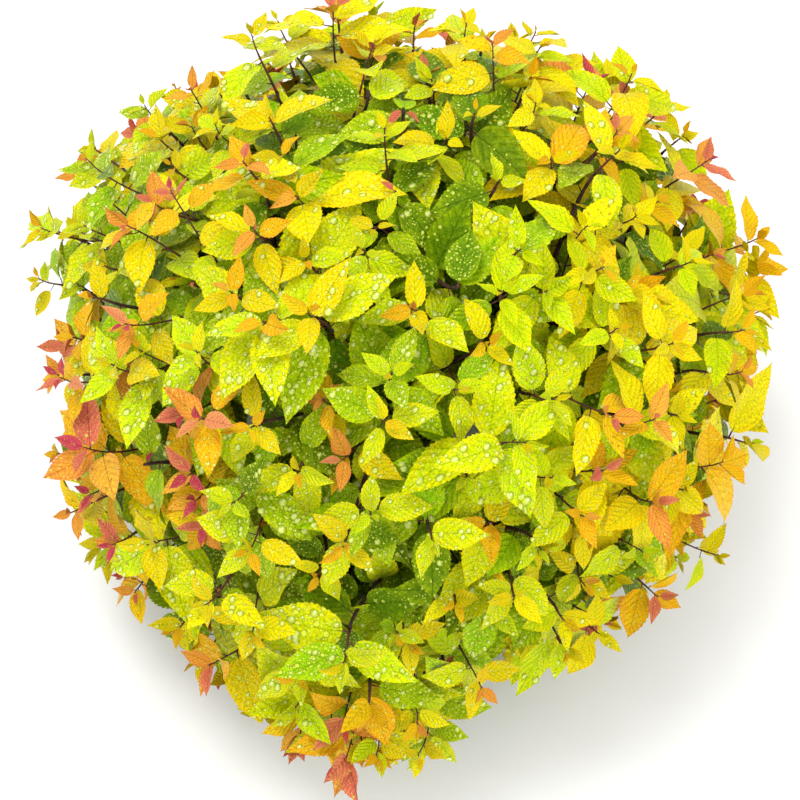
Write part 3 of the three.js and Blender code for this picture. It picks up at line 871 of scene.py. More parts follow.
def surface_share(points):
    """How far out points lie, as a share of the rippled surface's radius in their direction."""
    return np.linalg.norm(points - CENTRE, axis=1) / rippled_radius(unit(points - CENTRE))


def pose_again(leaves):
    """Works out along, facing and across. A leaf whose tip lies further out than FURTHEST is shortened in the
    proportion (FURTHEST - root's share) / (tip's share - root's share), but not below SHORTEST_SHARE."""
    along, facing = leaf_pose(leaves["root"], leaves["tangent"], leaves["turn"], leaves["opening"])
    facing = unit(facing + leaves["tilt"])
    facing = unit(facing - along * np.sum(facing * along, -1, keepdims=True))
    leaves["along"], leaves["facing"], leaves["across"] = along, facing, np.cross(facing, along)
    tip = leaves["root"] + along * leaves["length"][:, None]
    start_share, tip_share = surface_share(leaves["root"]), surface_share(tip)
    fits = (FURTHEST - start_share) / np.maximum(tip_share - start_share, 1e-6)
    leaves["length"] = leaves["length"] * np.where(tip_share > FURTHEST, np.clip(fits, SHORTEST_SHARE, 1), 1)
    return leaves


def some_of(leaves, pick):
    """The chosen leaves as a new set."""
    return {key: value[pick] for key, value in leaves.items()}


leaves = chance_of_pose(leaves)
tips = leaves["root"] + leaves["along"] * leaves["length"][:, None]
leaves = some_of(leaves, tips[:, 2] > LOWEST_LEAF)
print("leaves kept above the ground:", len(leaves["root"]))

# %% [markdown]
# ## Leaves make room for each other
# On the shrub no leaf grows through another: each is pushed aside as it opens. A physics run could do that,
# but it would be slow and never twice the same. Here every blade is reduced to ten triangles and eleven
# edges, and two blades cross where an edge of one passes through a triangle of the other. A leaf that crosses
# its neighbours tries another turn about its twig, and keeps it if it crosses fewer. After some rounds, the
# leaves that cross the most are left out one by one, till none crosses.

# %% Crossings
PAIRS_AT_ONCE = 12000
FRAME_T = np.array([[0.02, 0.35, 0.68, 1, 0.2, 0.5, 0.8, 0.2, 0.5, 0.8]])
FRAME_B = np.array([[0, 0, 0, 0, -0.95, -0.95, -0.95, 0.95, 0.95, 0.95]])
TRIANGLES = np.array([[0, 4, 1], [4, 5, 1], [5, 2, 1], [5, 6, 2], [6, 3, 2],
                      [0, 1, 7], [7, 1, 8], [8, 1, 2], [8, 2, 9], [9, 2, 3]])
EDGES = np.array([[0, 4], [4, 5], [5, 6], [6, 3], [0, 7], [7, 8], [8, 9], [9, 3], [0, 1], [1, 2], [2, 3]])


def passes_through(edges, triangles):
    """Whether any edge (p, e, 2, 3) of a pair meets any triangle (p, f, 3, 3): the line's place in the
    triangle's own coordinates u and v, and along the edge, must all lie from 0 to 1."""
    start, way = edges[:, :, None, 0], edges[:, :, None, 1] - edges[:, :, None, 0]
    corner = triangles[:, None, :, 0]
    one, two = triangles[:, None, :, 1] - corner, triangles[:, None, :, 2] - corner
    h = np.cross(way, two)
    scale = 1 / np.where(np.abs(np.sum(one * h, -1)) < 1e-14, 1e-14, np.sum(one * h, -1))
    off = start - corner
    q = np.cross(off, one)
    u, v, w = (np.sum(x * y, -1) * scale for x, y in ((off, h), (way, q), (two, q)))
    return np.any((u >= 0) & (v >= 0) & (u + v <= 1) & (w > 0) & (w < 1), axis=(1, 2))


def boxes_meet(one, two):
    """Table (n, m): whether the upright boxes round each of two sets of points (n, p, 3), (m, q, 3)
    overlap."""
    low, high, low_too, high_too = one.min(1), one.max(1), two.min(1), two.max(1)
    meet = np.ones((len(one), len(two)), dtype=bool)
    for axis in range(3):
        meet &= low[:, None, axis] <= high_too[None, :, axis]
        meet &= high[:, None, axis] >= low_too[None, :, axis]
    return meet


def crossing_table(frames, others, passed_over):
    """Table (n, m): whether a blade of frames crosses one of others; passed_over marks pairs not to look
    at."""
    table = boxes_meet(frames, others) & ~passed_over
    i, j = np.nonzero(table)
    for part in np.array_split(np.arange(len(i)), max(1, len(i) // PAIRS_AT_ONCE)):
        a, b = frames[i[part]].astype(np.float32), others[j[part]].astype(np.float32)
        crossed = passes_through(a[:, EDGES], b[:, TRIANGLES]) | passes_through(b[:, EDGES], a[:, TRIANGLES])
        table[i[part], j[part]] = crossed
    return table


def frames_of(leaves):
    """Ten points of each blade, (n, 10, 3): four on the midrib and three on each edge."""
    return blade_points(leaves, np.arange(len(leaves["root"])), FRAME_T, FRAME_B)


def twig_hits(frames, leaves, twigs):
    """How many twigs, each taken as eight straight edges, pass through each blade, apart from its own."""
    points, _ = along_curve(twigs, np.broadcast_to(np.linspace(0.05, 1, 9), (len(twigs), 9)))
    segments = np.stack([points[:, :-1], points[:, 1:]], axis=2)
    i, j = np.nonzero(boxes_meet(frames, points) & (leaves["twig"][:, None] != np.arange(len(twigs))[None]))
    hits = np.zeros(len(i), dtype=bool)
    for part in np.array_split(np.arange(len(i)), max(1, len(i) // PAIRS_AT_ONCE)):
        hits[part] = passes_through(segments[j[part]], frames[i[part]][:, TRIANGLES])
    return np.bincount(i[hits], minlength=len(frames))


print("a blade's frame:", len(EDGES), "edges and", len(TRIANGLES), "triangles")

# %% Make room
ROUNDS = 30


def make_room(leaves):
    """Rounds of new turns for the leaves that cross others; a new pose stays where it crosses fewer. Returns
    the leaves, the table of pairs that still cross, and how many twigs pass through each."""
    frames = frames_of(leaves)
    everyone = np.arange(len(frames))
    table = crossing_table(frames, frames, everyone[:, None] >= everyone[None])
    table |= table.T
    pierced = twig_hits(frames, leaves, twigs)
    print("leaves that cross another at first:", int(np.sum(table.any(1) | (pierced > 0))))
    for _ in range(ROUNDS):
        counts = table.sum(1) + pierced
        worst = np.nonzero(counts > 0)[0]
        tried = some_of(leaves, worst)
        tried["turn"] = tried["turn"] + rng.uniform(-0.9, 0.9, len(worst))
        tried["opening"] = tried["opening"] + rng.uniform(-0.25, 0.2, len(worst))
        tried["tilt"] = 0.26 * rng.normal(size=(len(worst), 3))
        tried["length"] = tried["length"] * rng.uniform(0.88, 1.0, len(worst))
        tried = pose_again(tried)
        tried_frames = frames_of(tried)
        found = crossing_table(tried_frames, frames, worst[:, None] == everyone[None]).sum(1)
        tried_pierced = twig_hits(tried_frames, tried, twigs)
        lowest = tried_frames[..., 2].min(1)
        better = (found + tried_pierced < counts[worst]) & (lowest > LOWEST_LEAF)
        moved = worst[better]
        for key in leaves:
            leaves[key][moved] = tried[key][better]
        frames[moved], pierced[moved] = tried_frames[better], tried_pierced[better]
        rows = crossing_table(frames[moved], frames, moved[:, None] == everyone[None])
        table[moved] = rows
        table[:, moved] = rows.T
    return leaves, table, pierced


leaves, table, pierced = make_room(leaves)


# %% Leave out what still crosses
def leave_out(leaves, table, pierced):
    """Takes away the leaf with the most crossings, again and again, till none crosses."""
    counts = table.sum(1) + pierced
    print("leaves that cross another in the end:", int(np.sum(counts > 0)))
    kept = np.ones(len(counts), dtype=bool)
    while counts.max() > 0:
        worst = int(np.argmax(counts))
        kept[worst] = False
        counts = counts - table[worst]
        counts[worst] = 0
    return some_of(leaves, kept)


leaves = leave_out(leaves, table, pierced)
print("leaves left:", len(leaves["root"]))

# %% [markdown]
# ## An airy skirt
# Under the dome's widest place the sprays stand in shade, and many of their leaves have dropped, so that the
# ground shows between them, most of all on the left. The leaves there are thinned out by chance: each keeps
# its place where a number that it has already, the phase of its wave, is above a threshold. So nothing new is
# drawn, and the rest of the shrub stays as it is.

# %% Open the skirt
SKIRT_OPEN = 0.45
SKIRT_TOP = -0.08  # the height, as a share of a direction, under which the leaves get thin
SKIRT_SLOPE = 3


def open_skirt(leaves):
    """Leaves out those whose phase is at most SKIRT_OPEN * low * left, with low = SKIRT_SLOPE * the depth
    below SKIRT_TOP and left = 1.2 - 0.8 x, both from 0 to 1."""
    outward = unit(leaves["root"] - CENTRE)
    low = np.clip(-SKIRT_SLOPE * (outward[:, 2] - SKIRT_TOP), 0, 1)
    left = np.clip(1.2 - 0.8 * outward[:, 0], 0, 1)
    return some_of(leaves, leaves["phase"][:, 0] > SKIRT_OPEN * (low * left))


leaves = open_skirt(leaves)
print("leaves after the skirt is opened:", len(leaves["root"]))

# %% [markdown]
# ## Colour by spray
# The young leaves of this shrub open crimson, turn coral and orange, then gold and yellow, and age to lime
# and green. How red a tip is belongs to its spray, and how soon it greens to its place: the sunny side stays
# gold. One material could shade over the whole shrub by place, but neighbouring leaves really differ as whole
# leaves. So each leaf climbs one ladder of eight tints, from its spray's first rung, by its order from the
# tip, and each tint is a piece of its own with a plain colour.

# %% Colour by spray
# The last tint is a darker green for the inner leaves on the shoots: partly their own older green, partly
# painted shade for where they sit under the outer leaves.
TINTS = ["crimson", "coral", "orange", "gold", "yellow", "lime", "green", "deep"]
FIRST_RUNG = np.array([0.0, 1.1, 2.4, 3.4, 4.4])
CLIMB = np.array([0.6, 0.58, 0.5, 0.34, 0.5])
# how often a spray starts on each first rung, in the shade and what the sun adds
SHARE_IN_SHADE = np.array([0.15, 0.17, 0.15, 0.3, 0.35])
SHARE_OF_SUN = np.array([0, 0, 0.05, 0.2, -0.25])
# the inner leaves' rung, between green and the darker last tint, which is partly painted shade
INNER_RUNG = 6.5


def deal_tints(leaves, sunny, flush):
    """rung = min(first + climb * order, last + 0.05 order), with chance: the stronger the flush of young
    growth, the lower the first rung; last is 5.8 less 1.7 for full sun. Leaves on the shoots are near
    INNER_RUNG."""
    share = SHARE_IN_SHADE + SHARE_OF_SUN * sunny[:, None]
    ladder = np.cumsum(share / share.sum(1, keepdims=True), 1)
    kind = np.clip(np.sum((1 - flush)[:, None] > ladder, axis=1), 0, len(FIRST_RUNG) - 1)
    first, climb = FIRST_RUNG[kind], CLIMB[kind]
    last = 5.8 - 1.7 * sunny + 0.5 * rng.normal(size=len(sunny))
    twig, order = leaves["twig"], leaves["order"]
    rung = np.minimum(first[twig] + climb[twig] * order, last[twig] + 0.05 * order)
    rung = rung + 0.28 * rng.normal(size=len(twig))
    inner = INNER_RUNG + 0.5 * rng.normal(size=len(twig))
    rung = np.where(twig >= 0, rung, inner)
    return np.clip(np.round(rung), 0, len(TINTS) - 1).astype(int)


tint = deal_tints(leaves, sunny, flush)
print("leaves by tint:", {name: int(np.sum(tint == k)) for k, name in enumerate(TINTS)})


# %% Wetness of each leaf
DRIER_THAN = [0.2, 0.45, 0.7]  # the shares of all leaves that are dry, at most damp, and at most wet
INNER_WETNESS = 0.35


def wetness(leaves, sunny):
    """score = 1.1 (1.15 - sunny) - 0.5 x - 0.15 y of its direction + 0.3 chance, or INNER_WETNESS + 0.3
    chance."""
    twig = leaves["twig"]
    side = unit(leaves["root"] - CENTRE)
    score = 1.1 * (1.15 - sunny[twig]) - 0.5 * side[:, 0] - 0.15 * side[:, 1]
    return np.where(twig >= 0, score, INNER_WETNESS) + 0.3 * rng.normal(size=len(twig))


wet = wetness(leaves, sunny)
wet_row = np.searchsorted(np.quantile(wet, DRIER_THAN), wet)
leaves["tile"] = TILES * wet_row + rng.integers(0, TILES, len(wet))
print("leaves by wetness, dry to dripping:", np.bincount(wet_row).tolist())

# %% [markdown]
# ## Leaves as joined meshes
# A big leaf needs many teeth and a small one few, so there are three grids. Beside its place in space, each
# blade has a place in a flat layout, in one of sixteen tiles: the row says how wet it is, and the column is
# by chance. The finish reads that layout, so one material draws the veins and the rain on all leaves of a
# tint.

# %% Leaves as joined meshes
LEAF_GRIDS = [  # stations along the blade, depth of the teeth, shortest and longest blade in metres
    (12, 0.04, 0.0, 0.014),
    (22, 0.045, 0.014, 0.028),
    (31, 0.04, 0.028, 1.0),
]
TILE_HALF_WIDTH = 0.44
TILE_FOOT, TILE_LENGTH = 0.04, 0.92


def leaf_mesh(name, leaves, chosen):
    """All chosen leaves as one mesh, each size on its own grid. In its tile a blade stands upright: the
    layout is (tile + (0.5 + TILE_HALF_WIDTH * b * outline(t), TILE_FOOT + TILE_LENGTH * t)) / TILES."""
    all_points, all_faces, all_flat = [], [], []
    start = 0
    for stations, tooth, shortest, longest in LEAF_GRIDS:
        pick = np.nonzero(chosen & (leaves["length"] >= shortest) & (leaves["length"] < longest))[0]
        if not len(pick):
            continue
        t, b = blade_grid(stations, tooth)
        size = stations * 3
        points = blade_points(leaves, pick, t.reshape(1, -1), b.reshape(1, -1))
        r, s = np.meshgrid(np.arange(stations - 1), np.arange(2), indexing="ij")
        a = r * 3 + s
        quads = np.stack([a, a + 1, a + 4, a + 3], -1).reshape(-1, 4)
        faces = quads[None] + (start + np.arange(len(pick)) * size)[:, None, None]
        aside = 0.5 + TILE_HALF_WIDTH * (b * blade_outline(t)).ravel()
        local = np.stack([aside, TILE_FOOT + TILE_LENGTH * t.ravel()], -1)
        tile = leaves["tile"][pick]
        corner = np.stack([tile % TILES, tile // TILES], -1)
        all_points.append(points.reshape(-1, 3))
        all_faces.append(faces.reshape(-1, 4))
        all_flat.append(((corner[:, None] + local[None]) / TILES).reshape(-1, 2))
        start += len(pick) * size
    return mesh_piece(name, np.concatenate(all_points), np.concatenate(all_faces), np.concatenate(all_flat))


leaf_pieces = {name: leaf_mesh(f"leaves_{name}", leaves, tint == k) for k, name in enumerate(TINTS)}
print("leaf triangles:", {name: 2 * len(piece.data.polygons) for name, piece in leaf_pieces.items()})


# %% Leaf stalks
STALK_THICK = 0.012  # radius as a share of the blade's length
THINNEST_STALK, THICKEST_STALK = 0.0002, 0.00048
UNDER_BLADE = 0.0002


def leaf_stalks(leaves):
    """A thin three-sided tube from inside the twig to just under the blade's foot, with the twigs' colour."""
    root, along = leaves["root"], leaves["along"]
    foot = root + along * (leaves["stalk"] + 0.05 * leaves["length"])[:, None]
    handles = arch(root, along, foot - leaves["facing"] * UNDER_BLADE, along, 0.3)
    wide = np.clip(leaves["length"] * STALK_THICK, THINNEST_STALK, THICKEST_STALK)
    return tubes(handles, np.stack([wide * 1.25, wide * 0.8], 1), 4, 3)


stalk_points, stalk_faces = leaf_stalks(leaves)
twig_piece = mesh_piece("young_twigs", np.concatenate([twig_points, stalk_points]),
                        np.concatenate([twig_faces, stalk_faces + len(twig_points)]))
print("twig and stalk triangles:", len(twig_piece.data.polygons))

# %% [markdown]
# ## Rain drops
# It has rained: beads of water stand on the leaves, most of all on the shaded left-hand side. A bump could
# draw them, and does so for the finest rain, but a big bead stands up and catches the light. It is a
# flattened dome that sits on the blade, so it is laid with the same formula as the blade, with its normal
# taken from two short steps in t and b. Big beads are rare and small ones common, as in real rain.

# %% Where the drops lie
DROP_COUNT = 7000
# how readily a leaf holds drops, by its row of wetness and by its tint
ROW_HOLDS = np.array([0.12, 0.4, 0.8, 1.3])
TINT_HOLDS = np.array([0, 0, 0, 0.1, 0.6, 1, 1, 1])
STEP = 0.02


def choose_leaves(leaves, tint, wet_row):
    """Leaves for the drops: the chance goes with the blade's area, its row, its tint, how far out it stands
    and how far it faces up."""
    root = leaves["root"] - CENTRE
    outer = np.clip(np.linalg.norm(root, axis=1) / surface_radius(unit(root)) * 3 - 1.9, 0.02, 1)
    weight = ROW_HOLDS[wet_row] * outer * np.clip(leaves["facing"][:, 2] + 0.1, 0.02, 1)
    weight = weight * leaves["length"] ** 2 * TINT_HOLDS[tint]
    return rng.choice(len(tint), DROP_COUNT, p=weight / weight.sum())


def blade_normal(leaves, pick, t, b):
    """The point at (t, b) and the normal there, which is the cross product of a short step in b and one in t.
    The step in b goes inward, so that it never leaves the blade."""
    middle = blade_points(leaves, pick, t, b)[:, 0]
    ahead = unit(blade_points(leaves, pick, t + STEP, b)[:, 0] - middle)
    inward = np.where(b < 0, 1, -1)
    aside = blade_points(leaves, pick, t, b + STEP * inward)[:, 0] - middle
    return middle, unit(np.cross(unit(aside * inward), ahead))


drop_leaf = choose_leaves(leaves, tint, wet_row)
print("leaves with drops:", len(np.unique(drop_leaf)))

# %% Rain drops
DROP_SIDES = 7
DROP_HEIGHT = 0.55
DROP_LIFT = np.radians([-8, 38])
WIDEST_ON_LEAF = 0.075
BACK = np.array([0.0, 1.0, 0.001])


def drops_on(leaves, pick):
    """A bead at (t, b) of a leaf: rings of radius r cos e and height DROP_HEIGHT r sin e along the blade's
    normal, with a pole at either end. Its flat layout is the bead seen from above, with v to the back."""
    count = len(pick)
    t = rng.uniform(0.08, 0.9, (count, 1))
    b = rng.uniform(-0.88, 0.88, (count, 1))
    radius = (0.55 + 2.1 * rng.random(count) ** 2.6) / 1000
    radius = np.minimum(radius, WIDEST_ON_LEAF * leaves["length"][pick])[:, None]
    middle, normal = blade_normal(leaves, pick, t, b)
    ahead = unit(BACK - normal * (normal @ BACK)[:, None])
    aside = np.cross(ahead, normal)
    angle = np.arange(DROP_SIDES) * 2 * np.pi / DROP_SIDES
    level = DROP_HEIGHT * np.sin(DROP_LIFT)[:, None] + 0 * angle[None]
    out = np.cos(DROP_LIFT)[:, None]
    out_x, out_y = out * np.cos(angle)[None], out * np.sin(angle)[None]
    offset = (ahead[:, None, None] * out_y[..., None] + aside[:, None, None] * out_x[..., None]
              + normal[:, None, None] * level[..., None])
    points = middle[:, None, None] + radius[:, None, None] * offset
    poles = np.stack([middle - normal * (radius * 0.1), middle + normal * (radius * DROP_HEIGHT)], 1)
    points = np.concatenate([points.reshape(count, -1, 3), poles], 1).reshape(-1, 3)
    flat = np.concatenate([np.stack([out_x, out_y], -1).reshape(-1, 2), [[0.01, 0], [0, 0.01]]])
    return points, tube_faces(count, len(DROP_LIFT), DROP_SIDES), np.tile(0.5 + 0.48 * flat, (count, 1))


drop_points, drop_faces, drop_flat = drops_on(leaves, drop_leaf)
drops = mesh_piece("rain_drops", drop_points, drop_faces, drop_flat)
print("drops:", DROP_COUNT, "triangles:", len(drop_faces))


# %% [markdown]
# ## The finish of a leaf
# Veins are what the eye looks for in a leaf. They could be a painted picture, but formulas stay sharp from
# near by. The blade's flat layout gives two numbers: how far a point is from the midrib, and how far along.
# The midrib is where the first is small; the side veins are stripes that lean forward; the margin is where
# the first comes near the outline. Each tile of the layout has its own small change of hue. The furrowed
# veins and the raised cushions between them are a bump.

# %% Small helpers for materials
def new_material(name):
    """Returns a material, its tree, and the Principled shader that is wired to its output."""
    material = bpy.data.materials.new(name)
    material.use_nodes = True
    tree = material.node_tree
    tree.nodes.clear()
    shader = tree.nodes.new("ShaderNodeBsdfPrincipled")
    output = tree.nodes.new("ShaderNodeOutputMaterial")
    tree.links.new(shader.outputs[0], output.inputs["Surface"])
    return material, tree, shader


def sums(tree, operation, *terms, clamp=False):
    """One Math node; a term is a number or an output socket."""
    made = tree.nodes.new("ShaderNodeMath")
    made.operation = operation
    made.use_clamp = clamp
    for socket, term in zip(made.inputs, terms):
        if isinstance(term, (int, float)):
            socket.default_value = term
        else:
            tree.links.new(term, socket)
    return made.outputs[0]


def ramp_between(tree, value, low, high):
    """0 at low, 1 at high, smooth between and flat beyond; low may be above high."""
    made = tree.nodes.new("ShaderNodeMapRange")
    made.interpolation_type = "SMOOTHSTEP"
    tree.links.new(value, made.inputs["Value"])
    made.inputs["From Min"].default_value = low
    made.inputs["From Max"].default_value = high
    return made.outputs["Result"]


def blend_colours(tree, share, first, second):
    """One Mix node for colours; a colour is a tuple or an output socket."""
    made = tree.nodes.new("ShaderNodeMix")
    made.data_type = "RGBA"
    for socket, term in zip((made.inputs[0], made.inputs[6], made.inputs[7]), (share, first, second)):
        if isinstance(term, tuple):
            socket.default_value = (*term, 1)
        elif isinstance(term, (int, float)):
            socket.default_value = term
        else:
            tree.links.new(term, socket)
    return made.outputs[2]


def noise_at(tree, place, flat=False, **inputs):
    """Smooth noise at the place that a socket gives; flat noise reads only the first two of its numbers."""
    made = node_of(tree, "ShaderNodeTexNoise", **inputs)
    if flat:
        made.noise_dimensions = "2D"
    tree.links.new(place, made.inputs["Vector"])
    return made.outputs[0]


def flat_layout(tree):
    """The piece's own flat layout."""
    layout = tree.nodes.new("ShaderNodeUVMap")
    layout.uv_map = LAYOUT
    return layout.outputs["UV"]


def add_bump(tree, shader, height, strength, depth):
    """Tilts the shader's normal by the slope of a height; depth is in metres."""
    bump = node_of(tree, "ShaderNodeBump", Strength=strength, Distance=depth)
    tree.links.new(height, bump.inputs["Height"])
    tree.links.new(bump.outputs[0], shader.inputs["Normal"])


def srgb(red, green, blue):
    """Screen colour 0-255 to the linear light that shaders count in."""
    c = np.array([red, green, blue]) / 255
    return tuple(float(v) for v in np.where(c <= 0.04045, c / 12.92, ((c + 0.055) / 1.055) ** 2.4))


print("half of the screen's brightness is", round(srgb(128, 128, 128)[0], 2), "of its light")

# %% The blade's own coordinates
ACROSS_TILE = 2.27  # 1 / TILE_HALF_WIDTH
ALONG_TILE, FOOT_OFF = 1.087, -0.0435  # 1 / TILE_LENGTH, and what brings the foot to 0
BLADE_SHAPE = (0.58, 1.0, 1.0)  # squeezes a tile to the proportions of a blade
HALF_TURN = 3.14159


def blade_coordinates(tree):
    """With u, v = TILES * layout: off = |fraction of u - 0.5| in half-widths, along = the fraction of v from
    0 at the foot to 1 at the tip, row = the floor of v, chance = a number for each tile, even = the layout
    squeezed."""
    layout = flat_layout(tree)
    parts = tree.nodes.new("ShaderNodeSeparateXYZ")
    tree.links.new(layout, parts.inputs[0])
    u, v = (sums(tree, "MULTIPLY", parts.outputs[k], TILES) for k in range(2))
    off = sums(tree, "MULTIPLY_ADD", sums(tree, "FRACT", u), ACROSS_TILE, -ACROSS_TILE / 2)
    along = sums(tree, "MULTIPLY_ADD", sums(tree, "FRACT", v), ALONG_TILE, FOOT_OFF, clamp=True)
    row = sums(tree, "FLOOR", v)
    tile = tree.nodes.new("ShaderNodeCombineXYZ")
    tree.links.new(sums(tree, "FLOOR", u), tile.inputs[0])
    tree.links.new(row, tile.inputs[1])
    chance = tree.nodes.new("ShaderNodeTexWhiteNoise")
    tree.links.new(tile.outputs[0], chance.inputs["Vector"])
    even = tree.nodes.new("ShaderNodeVectorMath")
    even.operation = "MULTIPLY"
    tree.links.new(layout, even.inputs[0])
    even.inputs[1].default_value = BLADE_SHAPE
    return sums(tree, "ABSOLUTE", off), along, row, chance.outputs[0], even.outputs[0]


def edge_share(tree, off, along):
    """0 on the midrib to 1 at the margin: off / outline, the outline being sin(pi along^WIDEST_BELOW)^0.9."""
    bow = sums(tree, "MULTIPLY", sums(tree, "POWER", along, WIDEST_BELOW), HALF_TURN)
    width = sums(tree, "POWER", sums(tree, "MAXIMUM", sums(tree, "SINE", bow), 0.0001), 0.9)
    return sums(tree, "DIVIDE", off, sums(tree, "MAXIMUM", width, 0.03))


print("tiles of the layout:", TILES * TILES)

# %% Veins and fine rain
SIDE_VEINS = 7
VEIN_LEAN, VEIN_CURVE = 0.36, 1.25
RAIN_CELLS = ((78.0, 0.36), (36.0, 0.34))  # cells across the layout, and the widest dot in one


def blade_veins(tree, off, along, mottle):
    """wave = cos(2 pi SIDE_VEINS (along - VEIN_LEAN off^VEIN_CURVE + 0.05 mottle)), so the stripes curve
    forward as they leave the midrib. A side vein is where wave is near 1, and the midrib where off is near
    0."""
    lean = sums(tree, "MULTIPLY", sums(tree, "POWER", off, VEIN_CURVE), VEIN_LEAN)
    lean = sums(tree, "SUBTRACT", along, lean)
    lean = sums(tree, "ADD", lean, sums(tree, "MULTIPLY", mottle, 0.05))
    wave = sums(tree, "COSINE", sums(tree, "MULTIPLY", lean, 2 * HALF_TURN * SIDE_VEINS))
    return wave, ramp_between(tree, wave, 0.82, 1.0), ramp_between(tree, off, 0.045, 0.012)


def fine_rain(tree, even, share_wet):
    """Domed dots in those cells of two Voronoi patterns whose lot is below share_wet: inside = 1 - distance /
    width, from 0 at a dot's edge to 1. Returns dots, rims and the larger dots' inside. The finish paints the
    dots pale, as painted light, and the rims dark, as painted shade."""
    dot, rim = 0.0, 0.0
    for scale, widest in RAIN_CELLS:
        cells = node_of(tree, "ShaderNodeTexVoronoi", Scale=scale, Randomness=0.85)
        cells.voronoi_dimensions = "2D"
        tree.links.new(even, cells.inputs["Vector"])
        lots = tree.nodes.new("ShaderNodeSeparateColor")
        tree.links.new(cells.outputs["Color"], lots.inputs[0])
        wide = sums(tree, "MULTIPLY_ADD", lots.outputs[1], 0.6 * widest, 0.4 * widest)
        out = sums(tree, "DIVIDE", cells.outputs["Distance"], wide)
        inside = sums(tree, "SUBTRACT", 1.0, out, clamp=True)
        inside = sums(tree, "MULTIPLY", inside, sums(tree, "LESS_THAN", lots.outputs[0], share_wet))
        dot = sums(tree, "MAXIMUM", dot, ramp_between(tree, inside, 0.16, 0.34))
        # the ring at a drop's edge, which the finish darkens as painted shade
        rim = sums(tree, "MAXIMUM", rim, ramp_between(tree, inside, 0.0, 0.1))
    return dot, rim, inside


print("side veins:", SIDE_VEINS, "sizes of fine rain:", len(RAIN_CELLS))

# %% The finish of a leaf
LEAF_COLOURS = {  # blade, margin and tip, midrib and veins, and how much fine rain it carries
    "crimson": (srgb(200, 66, 78), srgb(212, 96, 84), srgb(136, 24, 40), 0.1),
    "coral": (srgb(214, 118, 86), srgb(222, 144, 90), srgb(160, 56, 52), 0.12),
    "orange": (srgb(226, 160, 50), srgb(226, 138, 66), srgb(186, 88, 42), 0.2),
    "gold": (srgb(230, 186, 8), srgb(234, 164, 28), srgb(210, 156, 8), 0.3),
    "yellow": (srgb(220, 208, 0), srgb(238, 200, 0), srgb(192, 188, 0), 0.4),
    "lime": (srgb(190, 210, 0), srgb(228, 218, 0), srgb(150, 178, 0), 0.55),
    "green": (srgb(142, 180, 0), srgb(188, 206, 0), srgb(104, 142, 0), 0.65),
    # the inner leaves' darker green: partly their own colour, partly painted shade
    "deep": (srgb(86, 120, 0), srgb(136, 160, 0), srgb(54, 84, 0), 0.5),
}
SPOT_COLOUR = srgb(134, 92, 34)
# the painted light that makes the fine rain's drops pale
DROP_PAINTED_LIGHT = srgb(236, 250, 104)
LEAF_SHEEN_TINT = (1.0, 0.95, 0.25, 1)


def turn_to_margin(tree, off, along, mottle, wet):
    """How far the colour has turned to the margin's, from 0 to 1: 0.55 at the margin + 0.35 at the tip,
    clouded by the mottle."""
    to_margin = sums(tree, "MULTIPLY", ramp_between(tree, edge_share(tree, off, along), 0.3, 1.0), 0.55)
    to_tip = sums(tree, "MULTIPLY", ramp_between(tree, along, 0.5, 1.0), 0.35)
    share = sums(tree, "ADD", to_margin, to_tip, clamp=True)
    cloud = sums(tree, "SUBTRACT", mottle, 0.5)
    return sums(tree, "MULTIPLY_ADD", cloud, 0.7 + 2 * wet, share, clamp=True)


def vary(tree, colour, chance, fine):
    """Each tile's own small change of hue, and a brightness of 0.44 + fine noise + 0.14 chance."""
    shift = tree.nodes.new("ShaderNodeHueSaturation")
    tree.links.new(colour, shift.inputs["Color"])
    tree.links.new(sums(tree, "MULTIPLY_ADD", chance, 0.03, 0.485), shift.inputs["Hue"])
    bright = sums(tree, "MULTIPLY_ADD", chance, 0.14, sums(tree, "ADD", fine, 0.44))
    tree.links.new(bright, shift.inputs["Value"])
    return shift.outputs[0]


